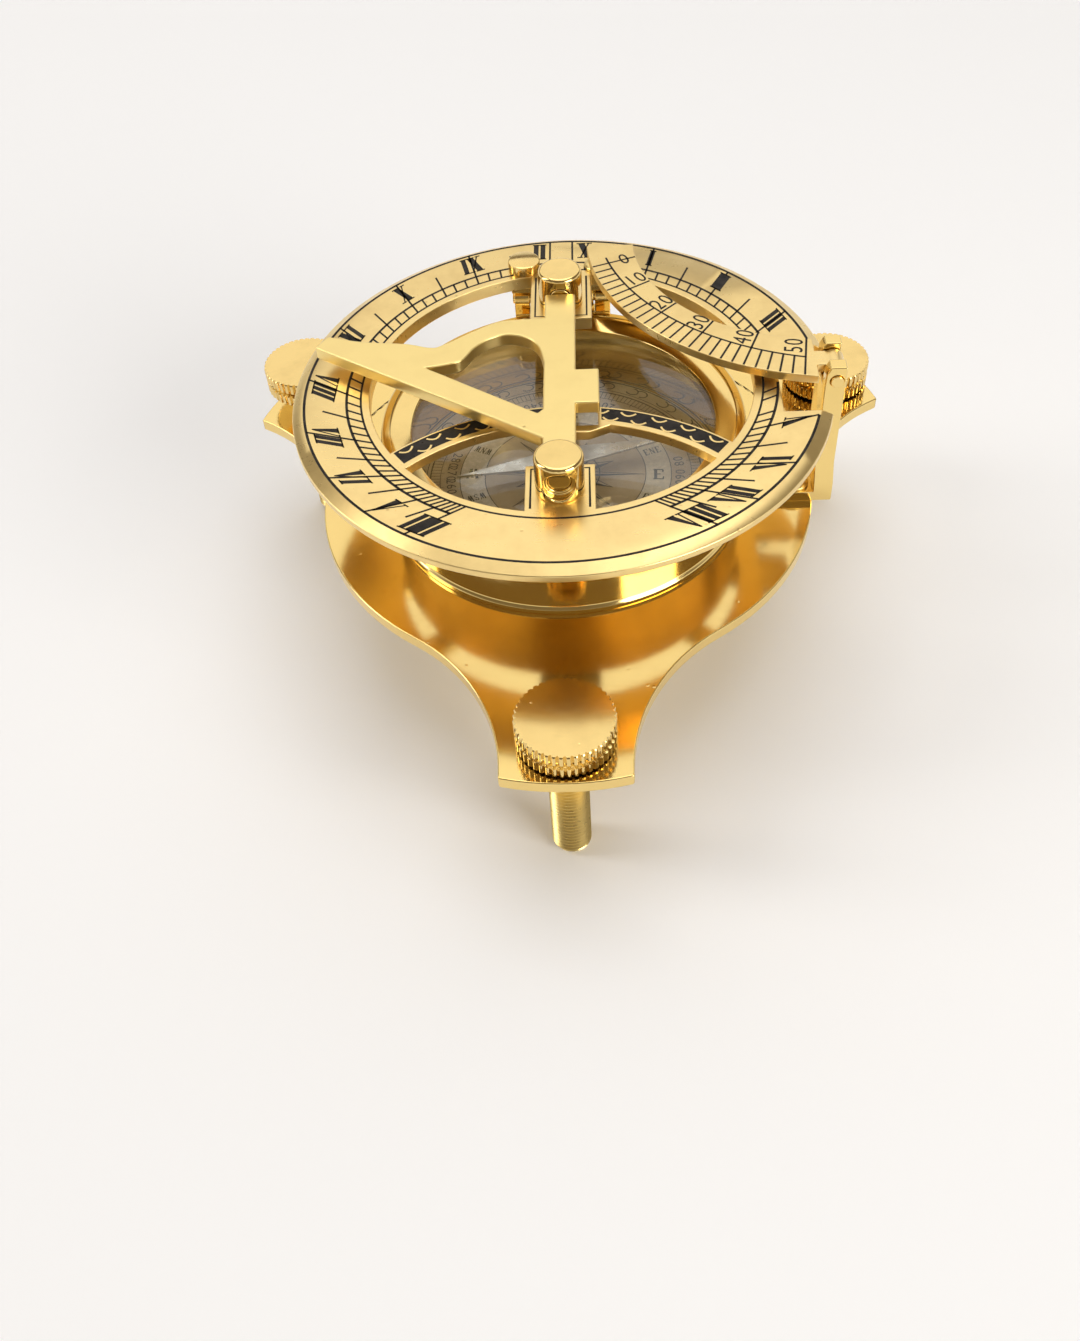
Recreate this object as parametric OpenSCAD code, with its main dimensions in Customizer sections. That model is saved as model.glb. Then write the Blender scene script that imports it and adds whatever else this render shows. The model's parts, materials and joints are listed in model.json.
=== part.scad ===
// Brass sundial compass: a round compass case on a three-lobed base plate with
// levelling screws, and above it a hinged hour ring that carries a folding gnomon.
// A folding latitude arc stands on a bracket at the east side of the base.
// X points east, Y points north, Z points up. The feet stand on z = 0.

/* [Base plate] */
// Radius of the round middle of the base plate
plate_r = 36.8; // [36:0.1:39]
// Thickness of the base plate
plate_t = 1.9; // [1.5:0.1:3]
// Metal of the front lobe beyond the middle of its screw
front_lobe_beyond = 7.2; // [6.7:0.1:9]
// Metal of the two side lobes beyond the middle of their screws
side_lobe_beyond = 5; // [4.6:0.1:9]
// Half the width of a lobe near its end
lobe_half = 8.6; // [8:0.1:11]
// Radius of the corners at the end of a lobe
lobe_corner = 1.6; // [0.8:0.1:3]
// Radius of the slightly bowed end edge of a lobe
lobe_end_r = 35; // [32:1:60]
// Height of the plate's top face above the ground
foot_drop = 23; // [18:0.5:30]

/* [Levelling screws] */
// Distance from the case axis to each levelling screw
screw_reach = 48.4; // [47.5:0.1:48.5]
// Radius of the screw shank
screw_r = 2.75; // [2.2:0.05:3]
// Length of the cone at the foot of the screw
screw_tip = 0.8; // [0.4:0.1:1.5]
// Radius of the knurled knob
knob_r = 6.6; // [5.5:0.1:6.7]
// Thickness of the knurled knob
knob_t = 4; // [3:0.1:6]
// Gap between the front and right knobs and the plate
knob_rise = 0.4; // [0.3:0.1:3]
// Gap between the left knob and the plate
left_knob_rise = 3.2; // [0.8:0.1:5]
// Wall of the threaded bush round the screw
bush_wall = 0.65; // [0.5:0.05:1.5]
// How far the bush reaches below the plate
bush_drop = 1.3; // [0.8:0.1:4]
// Radius of the spigot that holds the knob on the screw
spigot_r = 1.8; // [1.2:0.1:2]
// Height of that spigot
spigot_h = 2.3; // [1.5:0.1:2.5]

/* [Compass] */
// Outer radius of the compass case
case_r = 26.3; // [26.2:0.1:26.6]
// Height of the compass case above the plate
case_h = 13.6; // [13.2:0.1:13.8]
// Extra radius of the bead at the foot of the case
case_bead = 0.4; // [0.2:0.1:0.5]
// Height of that bead
bead_h = 1; // [0.6:0.1:2]
// Thickness of the case floor
floor_t = 1.3; // [1.1:0.1:2]
// Wall of the case round the dial card
case_wall = 2.7; // [2.3:0.1:3.3]
// Thickness of the dial card, which lies on the floor
card_t = 0.5; // [0.4:0.1:1.2]
// Height of the ledge that carries the glass
glass_seat = 10.9; // [10.7:0.1:11.1]
// Wall of the case round the glass
mouth_wall = 1.4; // [1:0.1:1.7]
// Thickness of the glass
glass_t = 1.5; // [1:0.1:1.6]
// Width of the ring that holds the glass down
glass_ring_w = 2.9; // [1.9:0.1:4.5]
// Radius of the pivot's stem
pivot_r = 0.8; // [0.6:0.1:1.2]
// Height of the pivot's point above the dial card
pivot_h = 3.9; // [3.2:0.1:5]
// Length of the compass needle
needle_len = 32.7; // [20:0.1:38]
// Width of the compass needle at its middle
needle_w = 4.4; // [3.4:0.1:6]
// Thickness of the compass needle
needle_t = 0.4; // [0.3:0.1:0.6]
// Direction of the needle at rest, from east towards north
needle_turn = 13; // [0:1:180]

/* [Hour ring] */
// Outer radius of the hour ring
ring_r = 38; // [37.6:0.1:38.2]
// Inner radius of the hour ring
ring_bore = 27; // [26.5:0.1:27.5]
// Thickness of the hour ring
ring_t = 2; // [1.8:0.1:2.2]
// Height of the ring's top face above the plate
ring_rise = 19.5; // [19.4:0.1:23]
// Width of the sloping rim round the ring
rim_w = 1.6; // [1:0.1:3]
// Drop of the sloping rim
rim_drop = 0.8; // [0.4:0.1:1.2]
// Distance from the middle to the floor of the notch for the arc
notch_x = 30.4; // [29:0.1:30.6]
// Clear space between the arc's bracket and the north side of the notch
notch_north = 2.4; // [1.8:0.1:3]
// Clear space between the arc's bracket and the south side of the notch
notch_south = 4.7; // [3.6:0.1:5.2]
// Half the width of the tab under the south post
front_tab_half = 4.6; // [4.2:0.1:6]
// Half the width of the tab under the north post
back_tab_half = 4.6; // [4.2:0.1:6]
// Metal of a tab beyond the middle of its post
tab_beyond = 4.5; // [3.6:0.1:6]

/* [Bridge] */
// Thickness of the crescent bridge across the ring
bridge_t = 1.5; // [1:0.1:1.8]
// Radius of the bridge's north edge
bridge_north_r = 34; // [32:0.5:36]
// Place of the north edge's middle, on the noon line
bridge_north_y = -5.5; // [-6:0.1:-5]
// Radius of the bridge's south edge
bridge_south_r = 29.3; // [28:0.1:31]
// Place of the south edge's middle, on the noon line
bridge_south_y = -9.1; // [-9.5:0.1:-8.6]
// Width of the small web that closes the slot in the bridge
web_w = 1.4; // [1:0.1:2]

/* [Gnomon] */
// Thickness of the gnomon plate
gnomon_t = 1.9; // [1.7:0.1:2.1]
// Height of the gnomon's pivot line above the ring
gnomon_rise = 2.55; // [2.5:0.05:3]
// Half the width of the bar along the pivot line
bar_half = 2.2; // [1.8:0.1:2.25]
// Reach of the tab that turns the gnomon
tab_reach = 5.4; // [4.5:0.1:5.6]
// South end of that tab
tab_south = -9.4; // [-9.6:0.1:-9.2]
// Length of that tab
tab_len = 7.5; // [5:0.1:8]
// Reach of the gnomon's tip west of the pivot line
tip_reach = 35; // [32:0.5:36]
// Angle between the shadow edge and the pivot line
style_angle = 56.5; // [50:0.5:58]
// Width of the shadow edge's limb
style_w = 3.9; // [3:0.1:4.5]

/* [Posts] */
// Radius of the two posts
post_r = 3.25; // [2.9:0.05:3.6]
// Height of the two posts above the ring
post_h = 5.6; // [5.2:0.1:7]
// Place of the south post on the noon line
front_post_y = -22.4; // [-22.6:0.1:-22.2]
// Place of the north post on the noon line
back_post_y = 19.7; // [19.4:0.1:20.2]
// Radius of the gnomon's pivot pins
pin_r = 1.5; // [1.1:0.1:1.6]
// Radius of the recess round the outer end of a pin
recess_r = 2.1; // [1.9:0.1:2.2]
// Radius of a pin's tail inside the gnomon
tail_r = 0.6; // [0.4:0.05:0.7]
// Length of a pin's tail
tail_len = 4; // [2:0.5:6]
// Radius of the peg under each post
peg_r = 1.6; // [1:0.1:2]

/* [Latitude arc] */
// Thickness of the latitude arc
arc_t = 1.3; // [1:0.1:1.4]
// Height of the arc's underside above the ring
arc_rise = 0.95; // [0.9:0.05:1.1]
// Radius of the arc's outer edge
arc_out_r = 37.1; // [36.6:0.1:37.4]
// Place of the outer edge's westmost point
arc_west_x = 4; // [3.8:0.1:4.6]
// Centre of the outer edge, north of the middle
arc_out_y = 32.8; // [32.4:0.1:33.4]
// Radius of the arc's inner edge
arc_in_r = 26.9; // [26.4:0.1:27.4]
// Width of the arc's band at its west side
arc_band = 7.2; // [6.8:0.1:7.6]
// Centre of the inner edge, north of the middle
arc_in_y = 31.6; // [31.2:0.1:32.2]
// North end of the arc
arc_end_y = 31; // [30:0.1:32]

/* [East hinge] */
// Distance of the arc's hinge pin from the middle
arc_axis_x = 38; // [37.9:0.1:38.8]
// Height of that pin above the ring
arc_axis_rise = 1; // [0.9:0.1:1.2]
// Radius of that pin
arc_pin_r = 0.9; // [0.7:0.1:1]
// Height of the bracket's square ears above the pin
arc_ear_h = 2.2; // [1.6:0.1:2.6]
// Thickness of the bracket's ears
arc_ear_t = 2.1; // [1.6:0.1:2.6]
// Radius of the arc's knuckle
knuckle_r = 1.5; // [1.4:0.1:1.6]
// Length of the arc's knuckle
knuckle_len = 3.2; // [2.6:0.1:4]
// Place of the knuckle's middle along its pin
knuckle_y = 0.3; // [0:0.1:0.6]
// Thickness of the bracket's upright strap
strap_t = 2.8; // [2.6:0.1:3.2]
// How far the strap's foot stands out to the south
strap_kick = 1.2; // [0.6:0.1:1.6]
// Gap between the bracket's foot and the compass case
strap_foot_gap = 0.6; // [0.3:0.1:2]
// Thickness of the bracket's foot
strap_foot_t = 1.6; // [1.2:0.1:2.4]

/* [North hinge] */
// Distance of the ring's hinge pin from the inner face of its bracket
hinge_in = 1.65; // [1.55:0.05:2]
// Depth of that pin below the ring's top face
hinge_drop = 5; // [4.9:0.1:5.4]
// Radius of that pin
hinge_pin_r = 0.8; // [0.6:0.1:1]
// Radius of the barrel and of the ears round the pin
barrel_r = 1.6; // [1.5:0.1:1.7]
// Half the length of the barrel
barrel_half = 4.9; // [4:0.1:5.2]
// Thickness of each ear of the bracket
ear_t = 2.4; // [1.6:0.1:3]
// Thickness of the hinge leaf under the ring
leaf_t = 1; // [0.8:0.1:1.1]
// Thickness of the bracket's upright wall
wall_t = 2.4; // [1.8:0.1:2.8]
// Reach of the bracket's foot over the base plate
foot_reach = 8; // [7:0.1:8.5]
// Thickness of the bracket's foot
foot_t = 1.8; // [1.4:0.1:2.4]

/* [Small screws] */
// Radius of the small screws' threads
small_r = 1.2; // [0.9:0.05:1.3]
// Radius of the small screws' heads
head_r = 2.1; // [1.8:0.1:2.2]
// Height of the small screws' heads
head_h = 0.75; // [0.5:0.05:0.75]
// Distance of the leaf screws from the noon line
leaf_screw_x = 5.7; // [5.5:0.1:6]
// Radius of the round cap on the west leaf screw, which stands clear of the arc
leaf_cap_r = 2.45; // [2.1:0.05:2.6]
// Height of that cap
leaf_cap_h = 1.6; // [0.8:0.1:2]

/* [Fits] */
// Radial clearance of parts that turn in a bore
run_fit = 0.05; // [0.03:0.01:0.08]
// Radial clearance of parts that are pressed or screwed together
seat_fit = 0.02; // [0.01:0.01:0.04]
// Clear space beside a part that turns between two cheeks
side_gap = 0.2; // [0.15:0.05:0.4]

/* [Hidden] */
$fn = 96;
// A cut runs this far past the face that it opens
cut = 1;
brass = [0.86, 0.66, 0.27];
steel = [0.62, 0.64, 0.66];

// Directions of the three lobes
FRONT = -90;
RIGHT = FRONT + 120;
LEFT = FRONT + 240;

// The origin lies on the ground under the middle of the whole outline
front_lobe_reach = screw_reach + front_lobe_beyond;
side_lobe_reach = screw_reach + side_lobe_beyond;
front_reach = max(front_lobe_reach, screw_reach + knob_r);
case_y = (front_reach - ring_r)/2;

bush_r = screw_r + run_fit + bush_wall;
bore_r = spigot_r + run_fit;

case_bore = case_r - case_wall;
glass_bore = case_r - mouth_wall;
glass_open = glass_bore - glass_ring_w;
card_top = floor_t + card_t;
glass_top = glass_seat + glass_t;
pivot_tip = card_top + pivot_h;
blade_z = pivot_tip - 0.9;
cap_neck = 1;
cap_r = 1.7;

gnomon_z = ring_rise + gnomon_rise;
front_face = front_post_y + post_r;
back_face = back_post_y - post_r;
bar_south = front_face + side_gap;
bar_north = back_face - side_gap;

arc_out_x = arc_west_x + arc_out_r;
arc_in_x = arc_west_x + arc_band + arc_in_r;
arc_z = ring_rise + arc_rise;
arc_axis_z = ring_rise + arc_axis_rise;
strap_x = arc_axis_x - 1.6;
ear_chamfer = 0.6;
// The arc's end clears the corners of the ears as it swings up
arc_east_x = arc_axis_x - norm([arc_axis_x - strap_x - ear_chamfer, arc_ear_h]) - 0.12;
strap_foot_x = case_r + case_bead + strap_foot_gap;
knuckle_south = knuckle_y - knuckle_len/2;
knuckle_north = knuckle_y + knuckle_len/2;
ear_south = knuckle_south - side_gap - arc_ear_t;
ear_north = knuckle_north + side_gap + arc_ear_t;
arc_screw_x = strap_x - head_r - 0.4;
arc_screw_y = ear_south + 1;

wall_y = case_r + case_bead + 0.25;
hinge_y = wall_y + hinge_in;
leaf_screw_y = hinge_y + 0.3;
hinge_z = ring_rise - hinge_drop;
leaf_half = leaf_screw_x + head_r;
ear_x = barrel_half + side_gap;
foot_screw_x = 4.6;
foot_screw_y = wall_y + wall_t + head_r + 0.3;
// The case screws stand on this radius
case_screw_at = 18;

// Slot in the bridge where the gnomon's tab swings down
tab_swing = norm([tab_reach, gnomon_t/2]);
slot_east = sqrt(tab_swing*tab_swing - gnomon_rise*gnomon_rise) + 0.3;
slot_west = -gnomon_t/2 - 0.35;
slot_south = tab_south - 0.4;
slot_len = bridge_north_y - slot_south + cut;

// A smooth line through points, as a chain of short chords
function spline_at(a, b, c, d, t) =
    0.5*(2*b + (c - a)*t + (2*a - 5*b + 4*c - d)*t*t + (3*b - a - 3*c + d)*t*t*t);
function smooth_line(p, n) = [for (i = [0:len(p) - 2], k = [0:n - 1])
    spline_at(p[max(i - 1, 0)], p[i], p[i + 1], p[min(i + 2, len(p) - 1)], k/n)];

// Local frame of the case: its axis, and the plate's top face at z = 0
module on_plate() { translate([0, case_y, foot_drop]) children(); }

module at_screw(turn) { rotate([0, 0, turn]) translate([screw_reach, 0, 0]) children(); }

// A cylinder along X or Y from one place to another
module rod_x(r, x0, x1, y, z) {
    translate([x0, y, z]) rotate([0, 90, 0]) cylinder(r = r, h = x1 - x0);
}
module rod_y(r, y0, y1, x, z) {
    translate([x, y1, z]) rotate([90, 0, 0]) cylinder(r = r, h = y1 - y0);
}

// A block between two corners
module block(a, b) { translate(a) cube(b - a); }

// A small screw with a low domed head, standing on z = 0 and reaching down
module small_screw(length) {
    rotate_extrude() polygon([[0, -length], [small_r, -length], [small_r, 0], [head_r, 0],
        [head_r, head_h*0.55], [head_r - 0.35, head_h*0.9], [head_r - 0.8, head_h], [0, head_h]]);
}

// One lobe of the base plate, with its underside on z = 0. Its waist is tangent to the
// round plate and to the lobe's side.
module lobe(reach) {
    neck_x = reach - lobe_corner;
    waist_r = (neck_x*neck_x + lobe_half*lobe_half - plate_r*plate_r)/(2*(plate_r - lobe_half));
    waist_a = atan2(lobe_half + waist_r, neck_x);
    intersection() {
        difference() {
            union() {
                linear_extrude(plate_t)
                    polygon([[0, 0],
                             [plate_r*cos(waist_a), plate_r*sin(waist_a)],
                             [neck_x, lobe_half],
                             [neck_x, -lobe_half],
                             [plate_r*cos(waist_a), -plate_r*sin(waist_a)]]);
                block([plate_r, -lobe_half, 0], [neck_x, lobe_half, plate_t]);
                block([plate_r, lobe_corner - lobe_half, 0],
                      [reach, lobe_half - lobe_corner, plate_t]);
                for (s = [-1, 1])
                    translate([neck_x, s*(lobe_half - lobe_corner), 0])
                        cylinder(r = lobe_corner, h = plate_t);
            }
            for (s = [-1, 1])
                translate([neck_x, s*(lobe_half + waist_r), -cut])
                    cylinder(r = waist_r, h = plate_t + 2*cut, $fn = 180);
        }
        translate([reach - lobe_end_r, 0, -cut])
            cylinder(r = lobe_end_r, h = plate_t + 2*cut, $fn = 180);
    }
}

module case_screw_places() {
    for (turn = [FRONT, LEFT, RIGHT])
        rotate([0, 0, turn]) translate([case_screw_at, 0, 0]) children();
}

module ring_bracket_screw_places() {
    for (s = [-1, 1])
        translate([s*foot_screw_x, foot_screw_y, foot_t]) children();
}

module base_plate() {
    color(brass) on_plate() difference() {
        translate([0, 0, -plate_t]) union() {
            cylinder(r = plate_r, h = plate_t, $fn = 180);
            rotate([0, 0, FRONT]) lobe(front_lobe_reach);
            for (turn = [LEFT, RIGHT]) rotate([0, 0, turn]) lobe(side_lobe_reach);
        }
        for (turn = [FRONT, LEFT, RIGHT])
            at_screw(turn) translate([0, 0, -plate_t - cut])
                cylinder(r = bush_r + seat_fit, h = plate_t + 2*cut);
        case_screw_places() translate([0, 0, -plate_t - cut])
            cylinder(r = small_r + seat_fit, h = plate_t + 2*cut);
        ring_bracket_screw_places() translate([0, 0, -foot_t - plate_t - cut])
            cylinder(r = small_r + seat_fit, h = plate_t + 2*cut);
        translate([arc_screw_x, arc_screw_y, -plate_t - cut])
            cylinder(r = small_r + seat_fit, h = plate_t + 2*cut);
    }
}

module bush(turn) {
    color(brass) on_plate() at_screw(turn) difference() {
        translate([0, 0, -plate_t - bush_drop]) cylinder(r = bush_r, h = plate_t + bush_drop);
        translate([0, 0, -plate_t - bush_drop - cut])
            cylinder(r = screw_r + run_fit, h = plate_t + bush_drop + 2*cut);
    }
}

// A levelling screw: the rise is the gap between its knob and the plate
module screw(turn, rise) {
    color(brass) on_plate() at_screw(turn) rotate_extrude()
        polygon([[0, -foot_drop], [screw_r - screw_tip, -foot_drop],
                 [screw_r, screw_tip - foot_drop], [screw_r, rise],
                 [spigot_r, rise], [spigot_r, rise + spigot_h], [0, rise + spigot_h]]);
}

module knob(turn, rise) {
    groove = 0.45;
    lip = 0.3;
    hole_top = rise + spigot_h + run_fit;
    top = rise + knob_t;
    mid = rise + knob_t/2;
    color(brass) on_plate() at_screw(turn) rotate_extrude()
        polygon([[bore_r, rise], [knob_r - lip, rise], [knob_r, rise + lip],
                 [knob_r, mid - groove], [knob_r - groove, mid], [knob_r, mid + groove],
                 [knob_r, top - lip], [knob_r - lip, top], [0, top],
                 [0, hole_top], [bore_r, hole_top]]);
}

module compass_case() {
    step = 0.5;
    color(brass) on_plate() difference() {
        rotate_extrude($fn = 180)
            polygon([[0, 0], [case_r + case_bead, 0], [case_r + case_bead, bead_h],
                     [case_r, bead_h + case_bead], [case_r, case_h - step],
                     [case_r - step, case_h], [glass_bore, case_h], [glass_bore, glass_seat],
                     [case_bore, glass_seat], [case_bore, floor_t], [0, floor_t]]);
        case_screw_places() translate([0, 0, -cut])
            cylinder(r = small_r + seat_fit, h = floor_t - 0.2 + cut);
    }
}

module case_screws() {
    color(steel) on_plate() case_screw_places()
        translate([0, 0, -plate_t]) mirror([0, 0, 1]) small_screw(plate_t + floor_t - 0.3);
}

module dial_card() {
    color([0.9, 0.86, 0.74]) on_plate() translate([0, 0, floor_t]) difference() {
        cylinder(r = case_bore - seat_fit, h = card_t, $fn = 180);
        translate([0, 0, -cut]) cylinder(r = pivot_r + seat_fit, h = card_t + 2*cut);
    }
}

module needle_pivot() {
    collar = 0.6;
    stem = pivot_r*0.6;
    color(brass) on_plate() rotate_extrude()
        polygon([[0, floor_t], [pivot_r, floor_t], [pivot_r, card_top],
                 [pivot_r + collar, card_top], [pivot_r + collar, card_top + 0.4],
                 [stem, card_top + 0.9], [stem, pivot_tip - 1.1], [0, pivot_tip]]);
}

module compass_needle() {
    half = needle_len/2;
    color(steel) on_plate() rotate([0, 0, needle_turn]) translate([0, 0, blade_z])
        linear_extrude(needle_t) difference() {
            polygon([[-half, 0], [0, -needle_w/2], [half, 0], [0, needle_w/2]]);
            circle(r = cap_neck + seat_fit);
        }
}

module needle_cap() {
    blade_top = blade_z + needle_t;
    mouth = 0.9;
    color(brass) on_plate() rotate_extrude()
        polygon([[0, pivot_tip + run_fit], [mouth, blade_z - 0.7], [cap_r, blade_z - 0.7],
                 [cap_r, blade_z], [cap_neck, blade_z], [cap_neck, blade_top],
                 [cap_r - 0.2, blade_top], [cap_r - 0.5, blade_top + 0.6],
                 [0, blade_top + 1]]);
}

module glass() {
    color([0.8, 0.9, 0.92, 0.4]) on_plate() translate([0, 0, glass_seat])
        cylinder(r = glass_bore - seat_fit, h = glass_t, $fn = 180);
}

module glass_ring() {
    edge = 0.4;
    top = case_h - 0.15;
    color(brass) on_plate() rotate_extrude($fn = 180)
        polygon([[glass_open, glass_top], [glass_bore - seat_fit, glass_top],
                 [glass_bore - seat_fit, top], [glass_bore - edge, top],
                 [glass_open, glass_top + edge]]);
}

module ring_bracket() {
    wide = ear_x + ear_t;
    wall_top = hinge_z - barrel_r - 0.4;
    color(brass) on_plate() difference() {
        union() {
            block([-wide, wall_y, 0], [wide, wall_y + wall_t, wall_top]);
            block([-wide, wall_y, 0], [wide, wall_y + foot_reach, foot_t]);
            for (s = [-1, 1]) {
                x0 = min(s*ear_x, s*wide);
                rod_x(barrel_r, x0, x0 + ear_t, hinge_y, hinge_z);
                block([x0, hinge_y - barrel_r, wall_top - barrel_r],
                      [x0 + ear_t, hinge_y + barrel_r, hinge_z]);
            }
        }
        rod_x(hinge_pin_r + seat_fit, -wide - cut, wide + cut, hinge_y, hinge_z);
        ring_bracket_screw_places() translate([0, 0, -foot_t - cut])
            cylinder(r = small_r + seat_fit, h = foot_t + 2*cut);
    }
}

module ring_bracket_screws() {
    color(steel) on_plate() ring_bracket_screw_places() small_screw(foot_t + plate_t);
}

module ring_hinge_pin() {
    end = ear_x + ear_t + 0.3;
    color(brass) on_plate() rod_x(hinge_pin_r, -end, end, hinge_y, hinge_z);
}

module leaf_screw_places() {
    for (s = [-1, 1])
        translate([s*leaf_screw_x, leaf_screw_y, ring_rise]) children();
}

module ring_hinge_leaf() {
    leaf_top = ring_rise - ring_t;
    leaf_south = hinge_y - barrel_r - 0.3;
    leaf_north = hinge_y + head_r + 0.7;
    color(brass) on_plate() difference() {
        union() {
            block([-leaf_half, leaf_south, leaf_top - leaf_t], [leaf_half, leaf_north, leaf_top]);
            rod_x(barrel_r, -barrel_half, barrel_half, hinge_y, hinge_z);
            block([-barrel_half, hinge_y - barrel_r*0.75, hinge_z],
                  [barrel_half, hinge_y + barrel_r*0.75, leaf_top - leaf_t/2]);
        }
        rod_x(hinge_pin_r + run_fit, -barrel_half - cut, barrel_half + cut, hinge_y, hinge_z);
        leaf_screw_places() translate([0, 0, -ring_t - leaf_t - cut])
            cylinder(r = small_r + seat_fit, h = ring_t + leaf_t + 2*cut);
    }
}

module leaf_screws() {
    cap_edge = 0.15;
    color(brass) on_plate() {
        leaf_screw_places() small_screw(ring_t + leaf_t);
        translate([-leaf_screw_x, leaf_screw_y, ring_rise]) rotate_extrude()
            polygon([[0, 0], [leaf_cap_r, 0], [leaf_cap_r, leaf_cap_h - cap_edge],
                     [leaf_cap_r - cap_edge, leaf_cap_h], [0, leaf_cap_h]]);
    }
}

module bridge_outline() {
    difference() {
        intersection() {
            circle(r = ring_bore + 1);
            difference() {
                translate([0, bridge_north_y - bridge_north_r])
                    circle(r = bridge_north_r, $fn = 180);
                translate([0, bridge_south_y - bridge_south_r])
                    circle(r = bridge_south_r, $fn = 180);
            }
        }
        translate([slot_west, slot_south]) square([slot_east - slot_west, slot_len]);
    }
    // The web that ties the two halves together south of the slot
    difference() {
        polygon([[slot_west - 3, slot_south + 1.2], [slot_west - 2, slot_south],
                 [slot_west, slot_south - web_w], [slot_east - 1.2, slot_south - web_w],
                 [slot_east + 1.8, slot_south], [slot_east + 2.6, slot_south + 1.2]]);
        translate([slot_west, slot_south]) square([slot_east - slot_west, slot_len]);
    }
}

module hour_ring() {
    notch_s = ear_south - notch_south;
    notch_n = ear_north + notch_north;
    color(brass) on_plate() translate([0, 0, ring_rise]) difference() {
        union() {
            rotate_extrude($fn = 180)
                polygon([[ring_bore, -ring_t], [ring_r - 0.3, -ring_t], [ring_r, 0.3 - ring_t],
                         [ring_r, -rim_drop], [ring_r - rim_w, 0], [ring_bore, 0]]);
            translate([0, 0, -bridge_t]) linear_extrude(bridge_t) bridge_outline();
            block([-front_tab_half, -ring_bore - 1, -ring_t],
                  [front_tab_half, front_post_y + tab_beyond, 0]);
            block([-back_tab_half, back_post_y - tab_beyond, -ring_t],
                  [back_tab_half, ring_bore + 1, 0]);
        }
        block([notch_x, notch_s, -ring_t - cut], [ring_r + cut, notch_n, cut]);
        for (y = [front_post_y, back_post_y])
            translate([0, y, -ring_t - cut]) cylinder(r = peg_r + seat_fit, h = ring_t + 2*cut);
        translate([0, 0, -ring_rise]) leaf_screw_places() translate([0, 0, -ring_t - cut])
            cylinder(r = small_r + seat_fit, h = ring_t + 2*cut);
    }
}

// A post for the gnomon. The sign says which way its outer side faces.
module post(y, side) {
    recess = post_r*0.4;
    outer = y + side*post_r;
    color(brass) on_plate() difference() {
        union() {
            translate([0, y, ring_rise]) rotate_extrude()
                polygon([[0, 0], [post_r, 0], [post_r, post_h - 0.35],
                         [post_r - 0.35, post_h], [0, post_h]]);
            translate([0, y, ring_rise - ring_t]) cylinder(r = peg_r, h = ring_t + cut);
        }
        rod_y(pin_r + run_fit, y - post_r - cut, y + post_r + cut, 0, gnomon_z);
        rod_y(recess_r, min(outer - side*recess, outer + side*cut),
              max(outer - side*recess, outer + side*cut), 0, gnomon_z);
    }
}

// A pivot pin: its journal turns in a post and its tail is fixed in the gnomon's bar
module gnomon_pin(y, side) {
    outer = y + side*post_r*0.55;
    inner = y - side*post_r;
    tail = inner - side*(side_gap + tail_len);
    color(brass) on_plate() {
        rod_y(pin_r, min(outer, inner), max(outer, inner), 0, gnomon_z);
        rod_y(tail_r, min(inner + side*0.5, tail), max(inner + side*0.5, tail), 0, gnomon_z);
    }
}

// The shadow edge runs from the south end of the bar up to the tip
style_foot_y = bar_south + 2.6;
tip_y = style_foot_y + (tip_reach - bar_half)/tan(style_angle);
limb = style_w/sin(style_angle);
limb_north = 10.6;
// Upper edge of the gnomon, from the tip to the bar, and the edge of its window
UPPER = [[1.6 - tip_reach, tip_y + 2.6], [-28.3, 6.4], [-21.9, 5.5], [-18.4, 4.4],
         [-16.6, 4.9], [-12.2, 8.1], [-8.6, 10.1], [-5.2, limb_north - 0.2], [-bar_half, limb_north]];
WINDOW = [[-18.6, -0.4], [-15.9, 0.2], [-13.7, 1.1], [-12, 4], [-9.8, 6], [-7.2, 6.7],
          [-4.4, 5.6], [-2.9, 3.4], [-bar_half, 0]];

module limb_outline() {
    difference() {
        polygon(concat([[0, style_foot_y - bar_half/tan(style_angle)], [-tip_reach, tip_y]],
                       smooth_line(UPPER, 6), [[0, limb_north]]));
        polygon(concat(smooth_line(WINDOW, 6),
                       [[-bar_half, 0], [-0.5, 0], [-0.5, style_foot_y + limb + 1.3],
                        [-bar_half, style_foot_y + limb + 1.3],
                        [-bar_half - 0.7, style_foot_y + limb + 0.5],
                        [-bar_half - 1.6, style_foot_y + limb + 1.6/tan(style_angle)]]));
    }
}

module gnomon() {
    low = gnomon_z - gnomon_t/2;
    high = gnomon_z + gnomon_t/2;
    color(brass) on_plate() difference() {
        union() {
            translate([0, 0, low]) linear_extrude(gnomon_t) limb_outline();
            block([-bar_half, bar_south, low], [bar_half, bar_north, high]);
            block([0, tab_south, low], [tab_reach, tab_south + tab_len, high]);
        }
        rod_y(tail_r + seat_fit, bar_south - cut, bar_south + tail_len + 0.1, 0, gnomon_z);
        rod_y(tail_r + seat_fit, bar_north - tail_len - 0.1, bar_north + cut, 0, gnomon_z);
    }
}

module arc_outline() {
    intersection() {
        difference() {
            translate([arc_out_x, arc_out_y]) circle(r = arc_out_r, $fn = 240);
            translate([arc_in_x, arc_in_y]) circle(r = arc_in_r, $fn = 240);
        }
        translate([arc_out_x - arc_out_r - cut, arc_out_y - arc_out_r - cut])
            square([arc_east_x - arc_out_x + arc_out_r + cut,
                    arc_end_y - arc_out_y + arc_out_r + cut]);
    }
}

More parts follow.
